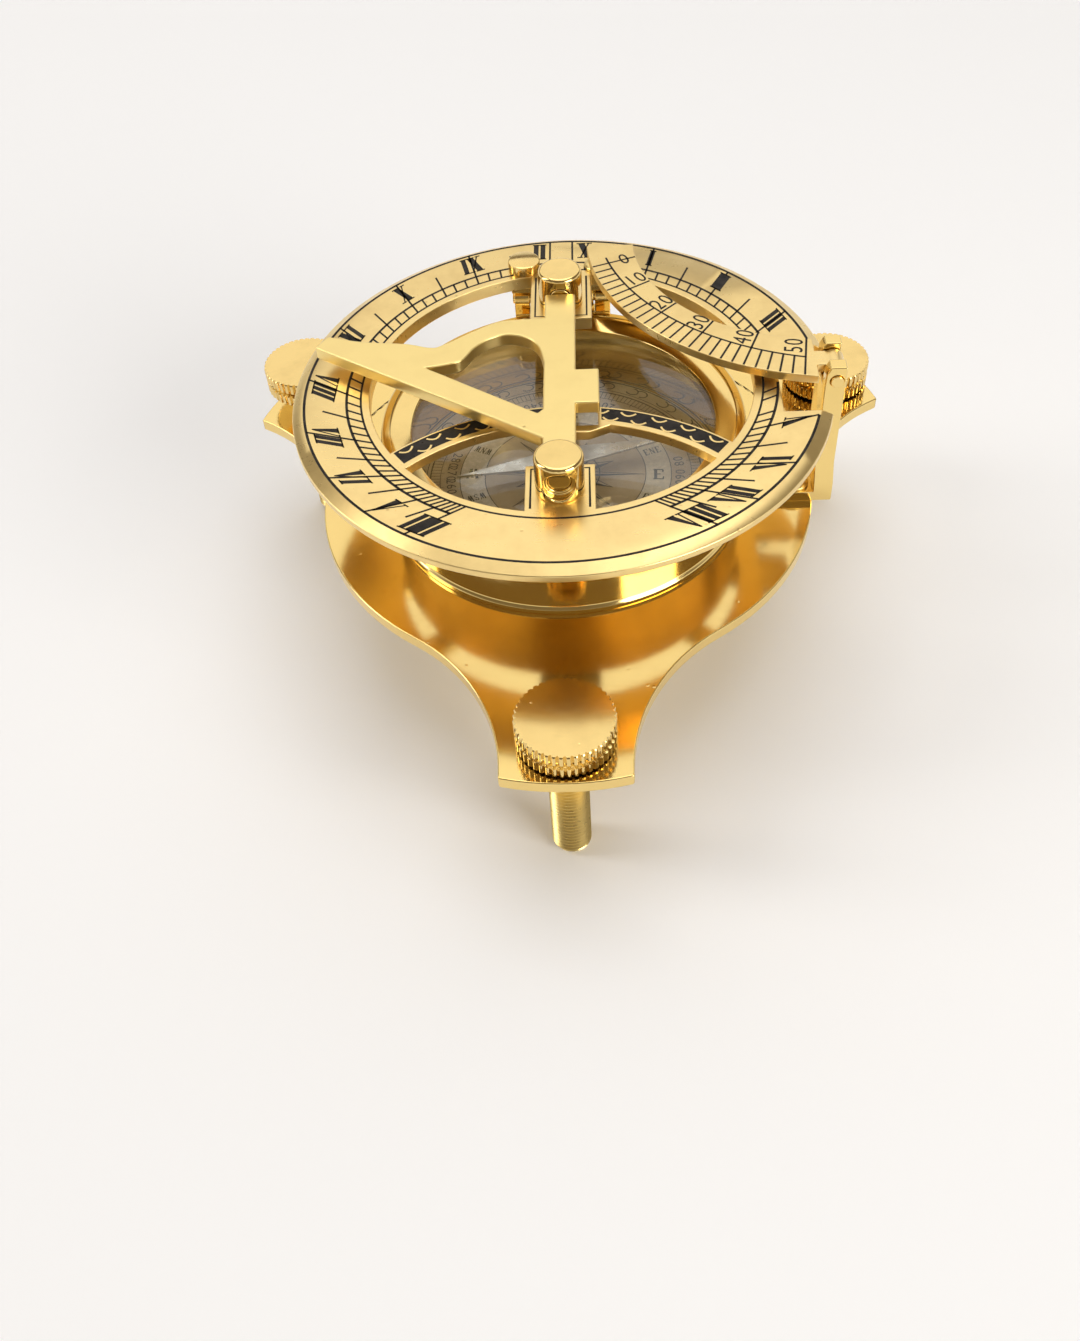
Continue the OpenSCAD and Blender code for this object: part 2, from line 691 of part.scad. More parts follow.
module latitude_arc() {
    color(brass) on_plate() difference() {
        union() {
            translate([0, 0, arc_z]) linear_extrude(arc_t) arc_outline();
            block([arc_east_x - 0.5, knuckle_south, arc_z],
                  [arc_axis_x, knuckle_north, arc_z + arc_t]);
            rod_y(knuckle_r, knuckle_south, knuckle_north, arc_axis_x, arc_axis_z);
        }
        rod_y(arc_pin_r + run_fit, knuckle_south - cut, knuckle_north + cut,
              arc_axis_x, arc_axis_z);
    }
}

module arc_hinge_pin() {
    color(brass) on_plate()
        rod_y(arc_pin_r, ear_south - 0.3, ear_north + 0.3, arc_axis_x, arc_axis_z);
}

module arc_bracket() {
    slot_floor = arc_axis_z - knuckle_r - 0.4;
    ear_top = arc_axis_z + arc_ear_h;
    foot_south = ear_south - strap_kick;
    kick_low = 2*strap_foot_t;
    kick_high = kick_low + 3;
    color(brass) on_plate() difference() {
        union() {
            translate([strap_x, 0, 0]) rotate([90, 0, 90]) linear_extrude(strap_t)
                polygon([[foot_south, 0], [foot_south, kick_low], [ear_south, kick_high],
                         [ear_south, ear_top],
                         [ear_south + arc_ear_t, ear_top], [ear_south + arc_ear_t, slot_floor],
                         [ear_north - arc_ear_t, slot_floor], [ear_north - arc_ear_t, ear_top],
                         [ear_north, ear_top], [ear_north, 0]]);
            block([strap_foot_x, foot_south, 0], [strap_x + strap_t, ear_north, strap_foot_t]);
        }
        translate([strap_x, ear_north + cut, ear_top]) rotate([90, 0, 0])
            linear_extrude(ear_north - ear_south + 2*cut)
                polygon([[-cut, -2*ear_chamfer - 2*cut], [ear_chamfer + cut/2, cut], [-cut, cut]]);
        rod_y(arc_pin_r + seat_fit, ear_south - cut, ear_north + cut, arc_axis_x, arc_axis_z);
        translate([arc_screw_x, arc_screw_y, -cut])
            cylinder(r = small_r + seat_fit, h = strap_foot_t + 2*cut);
    }
}

module arc_bracket_screw() {
    color(steel) on_plate() translate([arc_screw_x, arc_screw_y, strap_foot_t])
        small_screw(strap_foot_t + plate_t);
}

base_plate();
bush(FRONT);  // bush_front
bush(LEFT);  // bush_left
bush(RIGHT);  // bush_right
screw(FRONT, knob_rise);  // screw_front
screw(LEFT, left_knob_rise);  // screw_left
screw(RIGHT, knob_rise);  // screw_right
knob(FRONT, knob_rise);  // knob_front
knob(LEFT, left_knob_rise);  // knob_left
knob(RIGHT, knob_rise);  // knob_right
compass_case();
case_screws();
dial_card();
needle_pivot();
compass_needle();
needle_cap();
glass();
glass_ring();
ring_bracket();
ring_bracket_screws();
ring_hinge_pin();
ring_hinge_leaf();
leaf_screws();
hour_ring();
post(front_post_y, -1);  // front_post
post(back_post_y, 1);  // back_post
gnomon();
gnomon_pin(front_post_y, -1);  // gnomon_pin_front
gnomon_pin(back_post_y, 1);  // gnomon_pin_back
latitude_arc();
arc_hinge_pin();
arc_bracket();
arc_bracket_screw();
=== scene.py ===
# %% [markdown]
# A brass sundial compass, dressed for a close look. The real one is turned, cast and
# filed from brass, with a printed compass card under glass. All of it could be modelled
# from nothing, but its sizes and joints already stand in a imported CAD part. So this
# script loads that part as a frame and puts the maker's finish on it.

# %% Frame
import json
import math

import bmesh
import bpy
from mathutils import Matrix, Vector

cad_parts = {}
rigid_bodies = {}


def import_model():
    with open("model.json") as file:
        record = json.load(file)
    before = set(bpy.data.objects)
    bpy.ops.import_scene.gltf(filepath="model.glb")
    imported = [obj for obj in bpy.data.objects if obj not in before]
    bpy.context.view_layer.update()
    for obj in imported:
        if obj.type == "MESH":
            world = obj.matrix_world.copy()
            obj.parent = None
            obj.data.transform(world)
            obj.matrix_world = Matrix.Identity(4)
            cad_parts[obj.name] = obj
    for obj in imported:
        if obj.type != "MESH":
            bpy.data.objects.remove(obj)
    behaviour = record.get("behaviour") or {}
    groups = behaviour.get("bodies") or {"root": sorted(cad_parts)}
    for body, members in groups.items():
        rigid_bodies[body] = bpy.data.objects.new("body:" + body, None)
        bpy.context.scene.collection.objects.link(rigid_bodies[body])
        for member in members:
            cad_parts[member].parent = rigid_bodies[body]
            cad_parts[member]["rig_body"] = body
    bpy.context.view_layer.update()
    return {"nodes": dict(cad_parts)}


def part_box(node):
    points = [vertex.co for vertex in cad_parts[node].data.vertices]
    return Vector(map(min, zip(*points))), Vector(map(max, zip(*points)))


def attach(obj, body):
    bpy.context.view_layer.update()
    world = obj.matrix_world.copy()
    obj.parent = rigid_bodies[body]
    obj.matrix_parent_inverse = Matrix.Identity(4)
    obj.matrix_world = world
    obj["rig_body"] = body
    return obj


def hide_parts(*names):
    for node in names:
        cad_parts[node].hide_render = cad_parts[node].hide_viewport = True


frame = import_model()
MM = 0.001
scene = bpy.context.scene
print("CAD nodes to dress:", len(frame["nodes"]))

# %% [markdown]
# A dial maker works from the ring's middle, and so does this script: most pieces are laid
# out in millimetres east and north of that middle, with heights above the ring's face.
# The places could be typed in, but they are read from the boxes of the frame, so that the
# finish follows when the part is changed.

# %% Named places


def axis_of(name, height=None):
    """The middle of a CAD node in plan, at the node's foot or at a given height."""
    low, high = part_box(name)
    return Vector(((low.x + high.x)/2, (low.y + high.y)/2, low.z if height is None else height))


case_low, case_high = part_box("compass_case")
card_low, card_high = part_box("dial_card")
ring_low, ring_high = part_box("hour_ring")
PLATE = axis_of("compass_case")
DIAL = axis_of("compass_case", ring_high.z)
CARD = axis_of("compass_case", card_high.z)
RING_BORE = 27.0
print("ring radius", round((PLATE.x - ring_low.x)/MM, 2), "mm, dial face at",
      round(DIAL.z/MM, 2), "mm")


def on_dial(x, y, h=0.0):
    """A point x east and y north of the ring's middle and h above its face, in mm."""
    return DIAL + Vector((x, y, h))*MM


def on_plate(x, y, z=0.0):
    """A point east and north of the case axis and z above the base plate, in mm."""
    return PLATE + Vector((x, y, z))*MM


# %% [markdown]
# The photographer stood in front of the instrument and looked down at about fifty
# degrees. A camera could be moved by hand until the picture looks right. Here its lens,
# place and three turns were solved from the ring's concentric circles, the three knobs
# and the foot of the case, because only then does every edge line up at once.

# %% Camera
LENS = 43.886
CAMERA_PLACE = on_plate(5.2, -152.02, 133)
AZIMUTH = math.radians(-4.31)
ELEVATION = math.radians(49.02)
ROLL = math.radians(-4.73)
ahead = Vector((math.sin(AZIMUTH)*math.cos(ELEVATION), math.cos(AZIMUTH)*math.cos(ELEVATION),
                -math.sin(ELEVATION)))
level = Vector((math.cos(AZIMUTH), -math.sin(AZIMUTH), 0))
above = level.cross(ahead)
camera_right = level*math.cos(ROLL) + above*math.sin(ROLL)
camera_up = -level*math.sin(ROLL) + above*math.cos(ROLL)
camera = bpy.data.objects.new("photo_camera", bpy.data.cameras.new("photo_camera"))
scene.collection.objects.link(camera)
camera.data.sensor_fit = "HORIZONTAL"
camera.data.sensor_width = 36
camera.data.lens = LENS
camera.data.clip_start = 0.005
camera.data.clip_end = 20
turned_to = Matrix((camera_right, camera_up, -ahead)).transposed().to_4x4()
camera.matrix_world = Matrix.Translation(CAMERA_PLACE) @ turned_to
scene.camera = camera
scene.view_settings.view_transform = "Standard"
print("camera", round((CAMERA_PLACE - DIAL).length/MM), "mm from the dial")

# %% [markdown]
# Polished metal shows what stands round it. A bright world on every side would leave the
# brass pale and flat. So the world is a dim warm grey, and the light comes from a few
# broad soft boxes, as in a studio: each one shows in the metal as a clean bright shape.

# %% World and soft boxes
world = bpy.data.worlds.new("room")
scene.world = world
world.use_nodes = True
room_tree = world.node_tree
room_tree.nodes["Background"].inputs["Color"].default_value = (0.6, 0.5, 0.38, 1)
room_tree.nodes["Background"].inputs["Strength"].default_value = 0.35


def soft_box(name, place, size, power, colour=(1, 1, 1), aim=(0, 0, 0.03)):
    """A rectangular lamp that looks at a point."""
    lamp = bpy.data.lights.new(name, "AREA")
    lamp.shape = "RECTANGLE"
    lamp.size = size[0]
    lamp.size_y = size[1]
    lamp.energy = power
    lamp.color = colour
    stand = bpy.data.objects.new(name, lamp)
    turn = (Vector(aim) - Vector(place)).to_track_quat("-Z", "Y").to_matrix().to_4x4()
    stand.matrix_world = Matrix.Translation(place) @ turn
    scene.collection.objects.link(stand)


soft_box("white_wall", (0, 0.85, 0.95), (1.7, 1.0), 4.7, aim=(0, 0, 0))
soft_box("ceiling_light", (0.05, 0.15, 1.1), (1.0, 0.8), 4.2, aim=(0, 0, 0))
soft_box("window_right", (0.62, -0.55, 0.36), (0.5, 0.5), 4.6, (1, 0.97, 0.92))
soft_box("window_left", (-0.8, 0.05, 0.55), (0.25, 0.8), 2.6, (1, 0.98, 0.95))
print("soft boxes:", len(bpy.data.lights))

# %% [markdown]
# Every finish below is a small tree of shader nodes. They could be laid by hand in the
# shader editor. In a script, a few short helpers make a node, join two sockets, do a sum
# and start a material, and they keep the recipes short enough to read.

# %% Helpers for shader nodes


def node(tree, kind, **settings):
    """A new node, with its own settings and plain input values."""
    made = tree.nodes.new(kind)
    for key, value in settings.items():
        if hasattr(made, key):
            setattr(made, key, value)
        else:
            made.inputs[key].default_value = value
    return made


def link(tree, source, target):
    """Joins two sockets."""
    tree.links.new(source, target)


def math_node(tree, operation, a, b, clamp=False):
    """One sum on sockets or numbers; returns the result's socket."""
    made = node(tree, "ShaderNodeMath", operation=operation, use_clamp=clamp)
    for slot, value in zip(made.inputs, (a, b)):
        if isinstance(value, (int, float)):
            slot.default_value = value
        else:
            link(tree, value, slot)
    return made.outputs[0]


def ramp_node(tree, factor, low, high, kind="LINEAR"):
    """Turns the part of a factor between low and high into 0 to 1."""
    made = node(tree, "ShaderNodeMapRange", interpolation_type=kind)
    link(tree, factor, made.inputs["Value"])
    made.inputs["From Min"].default_value = low
    made.inputs["From Max"].default_value = high
    return made.outputs["Result"]


def noise_node(tree, where, scale, detail=2.0, rough=0.5):
    """A noise from 0 to 1 at a place."""
    made = node(tree, "ShaderNodeTexNoise", Scale=scale, Detail=detail, Roughness=rough)
    link(tree, where, made.inputs["Vector"])
    return made.outputs["Fac"]


def place_on_piece(tree):
    """Object coordinates, which stay with a piece when it moves."""
    return tree.nodes.new("ShaderNodeTexCoord").outputs["Object"]


def two_tone(tree, part, first, second):
    """A colour that goes from the first to the second while part goes from 0 to 1."""
    blend = node(tree, "ShaderNodeMix", data_type="RGBA")
    link(tree, part, blend.inputs[0])
    blend.inputs[6].default_value = (*first, 1)
    blend.inputs[7].default_value = (*second, 1)
    return blend.outputs[2]


def mix_shaders(tree, part, first, second, end):
    """Sends to an end socket the first shader where part is 0 and the second where it is 1."""
    blend = tree.nodes.new("ShaderNodeMixShader")
    for source, target in zip((part, first, second), blend.inputs):
        link(tree, source, target)
    link(tree, blend.outputs[0], end)


def start_material(name):
    """A new material, its node tree and its Principled shader."""
    made = bpy.data.materials.new(name)
    made.use_nodes = True
    return made, made.node_tree, made.node_tree.nodes["Principled BSDF"]


print("node helpers ready")

# %% [markdown]
# The instrument stands on white paper. Far from the lamps a lit floor gets dark. Stronger
# lamps would mend that but bleach the brass, so the far floor and the low part of the
# world fade to a pale backdrop instead. Only the rays that show a background see it: from
# the camera, off metal and through glass.

# %% Paper floor and pale backdrop
PALE = (0.905, 0.89, 0.87, 1)
PAPER_ENDS = (0.35, 1.1)
HORIZON_BAND = (0.35, 0.15)


def backdrop_part(tree, value, ends):
    """How much of the backdrop shows as a value passes between two ends."""
    path = tree.nodes.new("ShaderNodeLightPath")
    seen = path.outputs["Is Camera Ray"]
    for kind in ("Is Glossy Ray", "Is Transmission Ray"):
        seen = math_node(tree, "MAXIMUM", seen, path.outputs[kind])
    return math_node(tree, "MULTIPLY", ramp_node(tree, value, *ends, "SMOOTHSTEP"), seen)


paper, paper_tree, paper_shader = start_material("white_paper")
paper_shader.inputs["Base Color"].default_value = (0.955, 0.97, 1.0, 1)
paper_shader.inputs["Roughness"].default_value = 0.9
distance = node(paper_tree, "ShaderNodeVectorMath", operation="LENGTH")
link(paper_tree, place_on_piece(paper_tree), distance.inputs[0])
glow = node(paper_tree, "ShaderNodeEmission", Color=PALE)
mix_shaders(paper_tree, backdrop_part(paper_tree, distance.outputs["Value"], PAPER_ENDS),
            paper_shader.outputs[0], glow.outputs[0],
            paper_tree.nodes["Material Output"].inputs["Surface"])
height_of_ray = room_tree.nodes.new("ShaderNodeSeparateXYZ")
link(room_tree, room_tree.nodes.new("ShaderNodeTexCoord").outputs["Generated"],
     height_of_ray.inputs[0])
walls = node(room_tree, "ShaderNodeBackground", Color=PALE)
mix_shaders(room_tree, backdrop_part(room_tree, height_of_ray.outputs["Z"], HORIZON_BAND),
            room_tree.nodes["Background"].outputs[0], walls.outputs[0],
            room_tree.nodes["World Output"].inputs["Surface"])
floor_mesh = bpy.data.meshes.new("floor")
floor_bm = bmesh.new()
bmesh.ops.create_grid(floor_bm, x_segments=1, y_segments=1, size=4.0)
floor_bm.to_mesh(floor_mesh)
floor_bm.free()
floor = bpy.data.objects.new("floor", floor_mesh)
scene.collection.objects.link(floor)
floor.data.materials.append(paper)
print("paper fades to the backdrop between", *PAPER_ENDS, "m")

# %% [markdown]
# Every brass part of such an instrument is the same warm yellow alloy, but each tool
# leaves its own marks. Each material could hold its own pattern. One shared group is
# easier to keep even: slow waves from hand polishing, fine rings from the lathe, straight
# scratches from the file, casting pits and brown tarnish. Each material then sets how
# much of each it shows.

# %% Brass finish shared by all the metals
finish = bpy.data.node_groups.new("brass_finish", "ShaderNodeTree")
for label, kind in (("Brass", "NodeSocketColor"), ("Tarnish", "NodeSocketColor"),
                    ("Roughness", "NodeSocketFloat"), ("Turned", "NodeSocketFloat"),
                    ("Filed", "NodeSocketFloat"), ("Pits", "NodeSocketFloat"),
                    ("Tarnished", "NodeSocketFloat")):
    finish.interface.new_socket(label, in_out="INPUT", socket_type=kind)
for label, kind in (("Color", "NodeSocketColor"), ("Roughness", "NodeSocketFloat"),
                    ("Height", "NodeSocketFloat")):
    finish.interface.new_socket(label, in_out="OUTPUT", socket_type=kind)


def times(a, b, clamp=False):
    """A product inside the brass finish."""
    return math_node(finish, "MULTIPLY", a, b, clamp)


def add_up(total, parts):
    """Adds parts to a total inside the brass finish, each by its weight."""
    for part, weight in parts:
        total = math_node(finish, "ADD", total, times(part, weight))
    return total


asked = finish.nodes.new("NodeGroupInput").outputs
given = finish.nodes.new("NodeGroupOutput").inputs
place = place_on_piece(finish)
waves = noise_node(finish, place, 95, 1.5)
clouds = noise_node(finish, place, 130, 6, 0.62)
specks = noise_node(finish, place, 900, 3, 0.6)
stretched = node(finish, "ShaderNodeMapping")
stretched.inputs["Scale"].default_value = (160, 3200, 900)
link(finish, place, stretched.inputs["Vector"])
scratches = noise_node(finish, stretched.outputs["Vector"], 1, 3, 0.6)
radius = node(finish, "ShaderNodeAttribute", attribute_name="lathe").outputs["Fac"]
rings = node(finish, "ShaderNodeTexNoise", noise_dimensions="1D", Scale=3.2, Detail=3.0)
link(finish, radius, rings.inputs["W"])
bubbles = node(finish, "ShaderNodeTexVoronoi", Scale=520.0, Randomness=1.0)
link(finish, place, bubbles.inputs["Vector"])
pit = ramp_node(finish, bubbles.outputs["Distance"], 0.16, 0.05)
rare = ramp_node(finish, noise_node(finish, place, 210, 2), 0.56, 0.66)
pit = times(times(pit, rare), asked["Pits"])
brown = times(ramp_node(finish, clouds, 0.46, 0.74), asked["Tarnished"], clamp=True)
brown = math_node(finish, "MAXIMUM", brown, times(pit, 0.85))
mixed = node(finish, "ShaderNodeMix", data_type="RGBA")
link(finish, brown, mixed.inputs[0])
link(finish, asked["Brass"], mixed.inputs[6])
link(finish, asked["Tarnish"], mixed.inputs[7])
link(finish, mixed.outputs[2], given["Color"])
link(finish, add_up(asked["Roughness"], ((brown, 0.22), (specks, 0.06), (scratches, 0.07))),
     given["Roughness"])
turning = times(rings.outputs["Fac"], asked["Turned"])
filing = times(scratches, asked["Filed"])
link(finish, add_up(times(waves, 0.45), ((turning, 0.07), (filing, 0.05), (specks, 0.012), (pit, -0.9))),
     given["Height"])
print("nodes in the brass finish:", len(finish.nodes))

# %% [markdown]
# The metals differ in how they were worked: the case is polished, the knobs are turned,
# the plate is cast, and the dial is brushed so that its black lines read without glare.
# A painted map could say where the gnomon's casting pits lie. A distance from its root is
# enough, because the pits are only there.

# %% Brass and steel


def brass(name, colour, rough, turned=0.0, filed=0.0, pits=0.0, tarnished=0.35,
          tarnish=(0.33, 0.16, 0.045)):
    """A metal made from the shared finish."""
    made, tree, shader = start_material(name)
    shader.inputs["Metallic"].default_value = 1.0
    look = tree.nodes.new("ShaderNodeGroup")
    look.name = "finish"
    look.node_tree = finish
    for label, value in (("Brass", (*colour, 1)), ("Tarnish", (*tarnish, 1)), ("Roughness", rough),
                         ("Turned", turned), ("Filed", filed), ("Pits", pits),
                         ("Tarnished", tarnished)):
        look.inputs[label].default_value = value
    bump = node(tree, "ShaderNodeBump", Strength=1.0, Distance=0.00006)
    link(tree, look.outputs["Color"], shader.inputs["Base Color"])
    link(tree, look.outputs["Roughness"], shader.inputs["Roughness"])
    link(tree, look.outputs["Height"], bump.inputs["Height"])
    link(tree, bump.outputs["Normal"], shader.inputs["Normal"])
    return made


polished = brass("polished_brass", (0.89, 0.66, 0.26), 0.04, turned=0.6, pits=0.2, tarnished=0.15)
turned_brass = brass("turned_brass", (0.88, 0.65, 0.26), 0.07, turned=0.8, pits=0.3, tarnished=0.2)
cast = brass("cast_brass", (0.89, 0.66, 0.25), 0.05, filed=0.1, pits=0.3, tarnished=0.06)
dial = brass("dial_brass", (0.91, 0.69, 0.3), 0.22, filed=0.4, pits=0.5, tarnished=0.2)
gnomon_brass = brass("gnomon_brass", (0.93, 0.73, 0.3), 0.24, tarnished=0.08)
screw = brass("screw_brass", (0.87, 0.67, 0.26), 0.22, turned=0.8, pits=0.2, tarnished=0.3)
steel = brass("screw_steel", (0.55, 0.54, 0.52), 0.3, turned=0.8, tarnish=(0.2, 0.18, 0.16))
ROOT_OF_GNOMON = on_dial(-1.5, -13.5, 4)
gnomon_tree = gnomon_brass.node_tree
root_distance = node(gnomon_tree, "ShaderNodeVectorMath", operation="DISTANCE")
root_distance.inputs[1].default_value = ROOT_OF_GNOMON
link(gnomon_tree, place_on_piece(gnomon_tree), root_distance.inputs[0])
link(gnomon_tree, ramp_node(gnomon_tree, root_distance.outputs["Value"], 0.007, 0.002),
     gnomon_tree.nodes["finish"].inputs["Pits"])
print("six brass finishes and one steel ready")

# %% [markdown]
# A dressed piece starts as a copy of its CAD part. Drawn by hand it would get sharp edges
# that no real part has: a maker breaks each one with a fine file. So the copy gets a
# narrow bevel. Round turned parts are made afresh, because a section that is drawn
# beside the axis and spun round it, as on a lathe, gives clean rings of faces.

# %% Helpers for pieces
EDGE_ANGLE = math.radians(30)
LATHE_FEED = 0.37


def finish_piece(name, bm, body, material, edge=0.0, parts=2):
    """Turns a bmesh into a piece that rides on a body, with rounded edges edge mm wide."""
    mesh = bpy.data.meshes.new(name)
    bm.to_mesh(mesh)
    bm.free()
    mesh.materials.append(material)
    mesh.shade_smooth()
    mesh.set_sharp_from_angle(angle=EDGE_ANGLE)
    piece = bpy.data.objects.new(name, mesh)
    scene.collection.objects.link(piece)
    if edge:
        rounding = piece.modifiers.new("broken_edges", "BEVEL")
        rounding.width = edge*MM
        rounding.segments = parts
        rounding.limit_method = "ANGLE"
        rounding.angle_limit = EDGE_ANGLE
        rounding.harden_normals = True
        rounding.use_clamp_overlap = False
        rounding.material = -1
    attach(piece, body)
    return piece


def mark_lathe(bm, axis):
    """Stores how far each point lies along the tool's path, in mm, for the lathe marks."""
    layer = bm.verts.layers.float.new("lathe")
    for vert in bm.verts:
        offset = vert.co - axis
        vert[layer] = math.hypot(offset.x, offset.y)/MM + LATHE_FEED*offset.z/MM


def dress(node_name, material, edge=0.12, axis=None, parts=2):
    """A copy of a CAD part with broken edges, which stands for that part."""
    source = frame["nodes"][node_name]
    bm = bmesh.new()
    bm.from_mesh(source.data)
    bmesh.ops.remove_doubles(bm, verts=bm.verts, dist=2e-6)
    bmesh.ops.dissolve_limit(bm, angle_limit=math.radians(0.5), verts=bm.verts, edges=bm.edges)
    bmesh.ops.recalc_face_normals(bm, faces=bm.faces)
    if axis is not None:
        mark_lathe(bm, axis)
    piece = finish_piece(node_name + "_dressed", bm, source["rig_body"], material, edge, parts)
    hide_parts(node_name)
    return piece


def draw_section(bm, section, axis):
    """A line of (radius, height) points in mm, drawn beside an upright axis."""
    verts = [bm.verts.new(axis + Vector((r, 0, z))*MM) for r, z in section]
    return verts + [bm.edges.new(pair) for pair in zip(verts, verts[1:])]


def lathe(section, axis, steps):
    """Spins a section once round an upright axis."""
    bm = bmesh.new()
    bmesh.ops.spin(bm, geom=draw_section(bm, section, axis), cent=axis, axis=(0, 0, 1),
                   angle=math.tau, steps=steps, use_merge=True)
    bmesh.ops.remove_doubles(bm, verts=bm.verts, dist=1e-7)
    bmesh.ops.recalc_face_normals(bm, faces=bm.faces)
    mark_lathe(bm, axis)
    return bm


print("edges are broken where faces meet at more than", round(math.degrees(EDGE_ANGLE)), "degrees")

# %% [markdown]
# The base plate is one casting, filed all round and polished on top. It could be drawn
# again as a smooth outline, but the CAD part has the right waists already, so its copy
# only gets an edge. The plate is thin, so the edge is just wide enough not to cut.

# %% Base plate
base_plate = dress("base_plate", cast, 0.22, PLATE, 3)
print("base plate faces:", len(base_plate.data.polygons))

# %% [markdown]
# The levelling screws have a fine thread, and each turns in a short tube that is pressed
# into its lobe. A bump could draw the thread, but its outline would stay straight. Here a
# line of crests and roots is spun round the axis and climbs by one pitch, so that every
# root meets the next one: a real helix. Its ends are then cut to a cone and a spigot.

# %% Bushes and levelling screws
SCREW_NAMES = ("front", "left", "right")
THREAD_PITCH = 0.7
THREAD_DEPTH = 0.45
THREAD_STEPS = 80
THREAD_SHAPE = ((0.0, 0.0), (0.1, 0.0), (0.5, 1.0), (0.6, 1.0))
SHANK_R = 2.75
SPIGOT_R = 1.8
CONE = 0.8


def thread_screw(name):
    """A levelling screw: helical thread, coned foot and plain spigot for its knob."""
    axis = axis_of("screw_" + name)
    top = (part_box("knob_" + name)[0].z - axis.z)/MM
    spigot_top = (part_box("screw_" + name)[1].z - axis.z)/MM
    turns = math.ceil(top/THREAD_PITCH) + 3
    section = [(SHANK_R - THREAD_DEPTH*sunk, THREAD_PITCH*(turn + phase - 1))
               for turn in range(turns) for phase, sunk in THREAD_SHAPE]
    bm = bmesh.new()
    bmesh.ops.spin(bm, geom=draw_section(bm, section, axis), cent=axis, axis=(0, 0, 1),
                   angle=math.tau, steps=THREAD_STEPS, dvec=(0, 0, THREAD_PITCH*MM/THREAD_STEPS))
    for vert in bm.verts:
        offset = vert.co - axis
        out = math.hypot(offset.x, offset.y)/MM
        z = max(offset.z/MM, 0)
        r = min(out, SHANK_R - CONE + z)
        if z >= top:
            z, r = top, SPIGOT_R
        vert.co = axis + Vector((offset.x*r/out, offset.y*r/out, z*MM))
    bmesh.ops.remove_doubles(bm, verts=bm.verts, dist=1e-6)
    bmesh.ops.dissolve_degenerate(bm, dist=1e-8, edges=bm.edges)
    rim = [edge for edge in bm.edges if edge.is_boundary and edge.verts[0].co.z > axis.z + top*MM/2]
    raised = bmesh.ops.extrude_edge_only(bm, edges=rim)["geom"]
    raised = [item for item in raised if isinstance(item, bmesh.types.BMVert)]
    bmesh.ops.translate(bm, verts=raised, vec=(0, 0, (spigot_top - top)*MM))
    bmesh.ops.holes_fill(bm, edges=[edge for edge in bm.edges if edge.is_boundary], sides=0)
    bmesh.ops.recalc_face_normals(bm, faces=bm.faces)
    mark_lathe(bm, axis)
    piece = finish_piece(f"thread_{name}", bm, f"screw_{name}", screw)
    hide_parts(f"screw_{name}")


for side in SCREW_NAMES:
    dress("bush_" + side, polished, 0.12)
    thread_screw(side)
print("three threaded screws, pitch", THREAD_PITCH, "mm")

# %% [markdown]
# Each knob is turned with a groove round its middle, and its two bands are knurled with
# straight teeth, so that wet fingers hold it. Each tooth could be a separate wedge. It is
# simpler to spin the section in many fine steps and to draw the points between the
# crests inwards, which keeps the knob's full size at the crests.

# %% Knobs
TEETH = 44
TOOTH_DEPTH = 0.42
TOOTH_SHAPE = (1.0, 0.8, 0.2, 0.04, 0.0, 0.04, 0.2, 0.8)
KNOB_STEPS = TEETH*len(TOOTH_SHAPE)
KNOB_EDGE = 0.16
KNOB_BORE_R = 1.86
KNOB_BORE_TOP = 2.36
GROOVE_HALF = 0.4
GROOVE_FOOT = 0.16
GROOVE_DEPTH = 0.8


def knurled_knob(name):
    """A round knob with two knurled bands and a turned top."""
    low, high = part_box("knob_" + name)
    axis = axis_of("knob_" + name)
    radius_out = (high.x - low.x)/2/MM
    tall = (high.z - low.z)/MM
    mid = tall/2
    root = radius_out - GROOVE_DEPTH
    slope = radius_out - 0.35
    section = [(KNOB_BORE_R, KNOB_BORE_TOP), (KNOB_BORE_R, 0), (radius_out - KNOB_EDGE, 0),
               (radius_out, KNOB_EDGE), (radius_out, mid - GROOVE_HALF),
               (slope, mid - GROOVE_HALF + 0.08), (root, mid - GROOVE_FOOT),
               (root, mid + GROOVE_FOOT), (slope, mid + GROOVE_HALF - 0.08),
               (radius_out, mid + GROOVE_HALF), (radius_out, tall - KNOB_EDGE),
               (radius_out - KNOB_EDGE, tall), (0, tall)]
    bm = lathe(section, axis, KNOB_STEPS)
    for vert in bm.verts:
        offset = vert.co - axis
        out = math.hypot(offset.x, offset.y)/MM
        if out > radius_out - TOOTH_DEPTH:
            step = round(math.atan2(offset.y, offset.x)/math.tau*KNOB_STEPS)
            cut_to = radius_out - TOOTH_DEPTH*TOOTH_SHAPE[step % len(TOOTH_SHAPE)]
            scale = min(out, cut_to)/out
            vert.co.x = axis.x + offset.x*scale
            vert.co.y = axis.y + offset.y*scale
    piece = finish_piece(f"knurled_{name}", bm, f"knob_{name}", turned_brass)
    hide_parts(f"knob_{name}")


for side in SCREW_NAMES:
    knurled_knob(side)
print("knobs with", TEETH, "teeth each")

# %% [markdown]
# The case is turned from solid bar: a bead at the foot, a plain wall and a rounded lip.
# The CAD part could be dressed like the plate, but a turned wall shows every flat of a
# coarse mesh. So its section is drawn from the part's own sizes, with the corners that a
# turning tool leaves, and spun round in fine steps. The ring over the glass is the same.

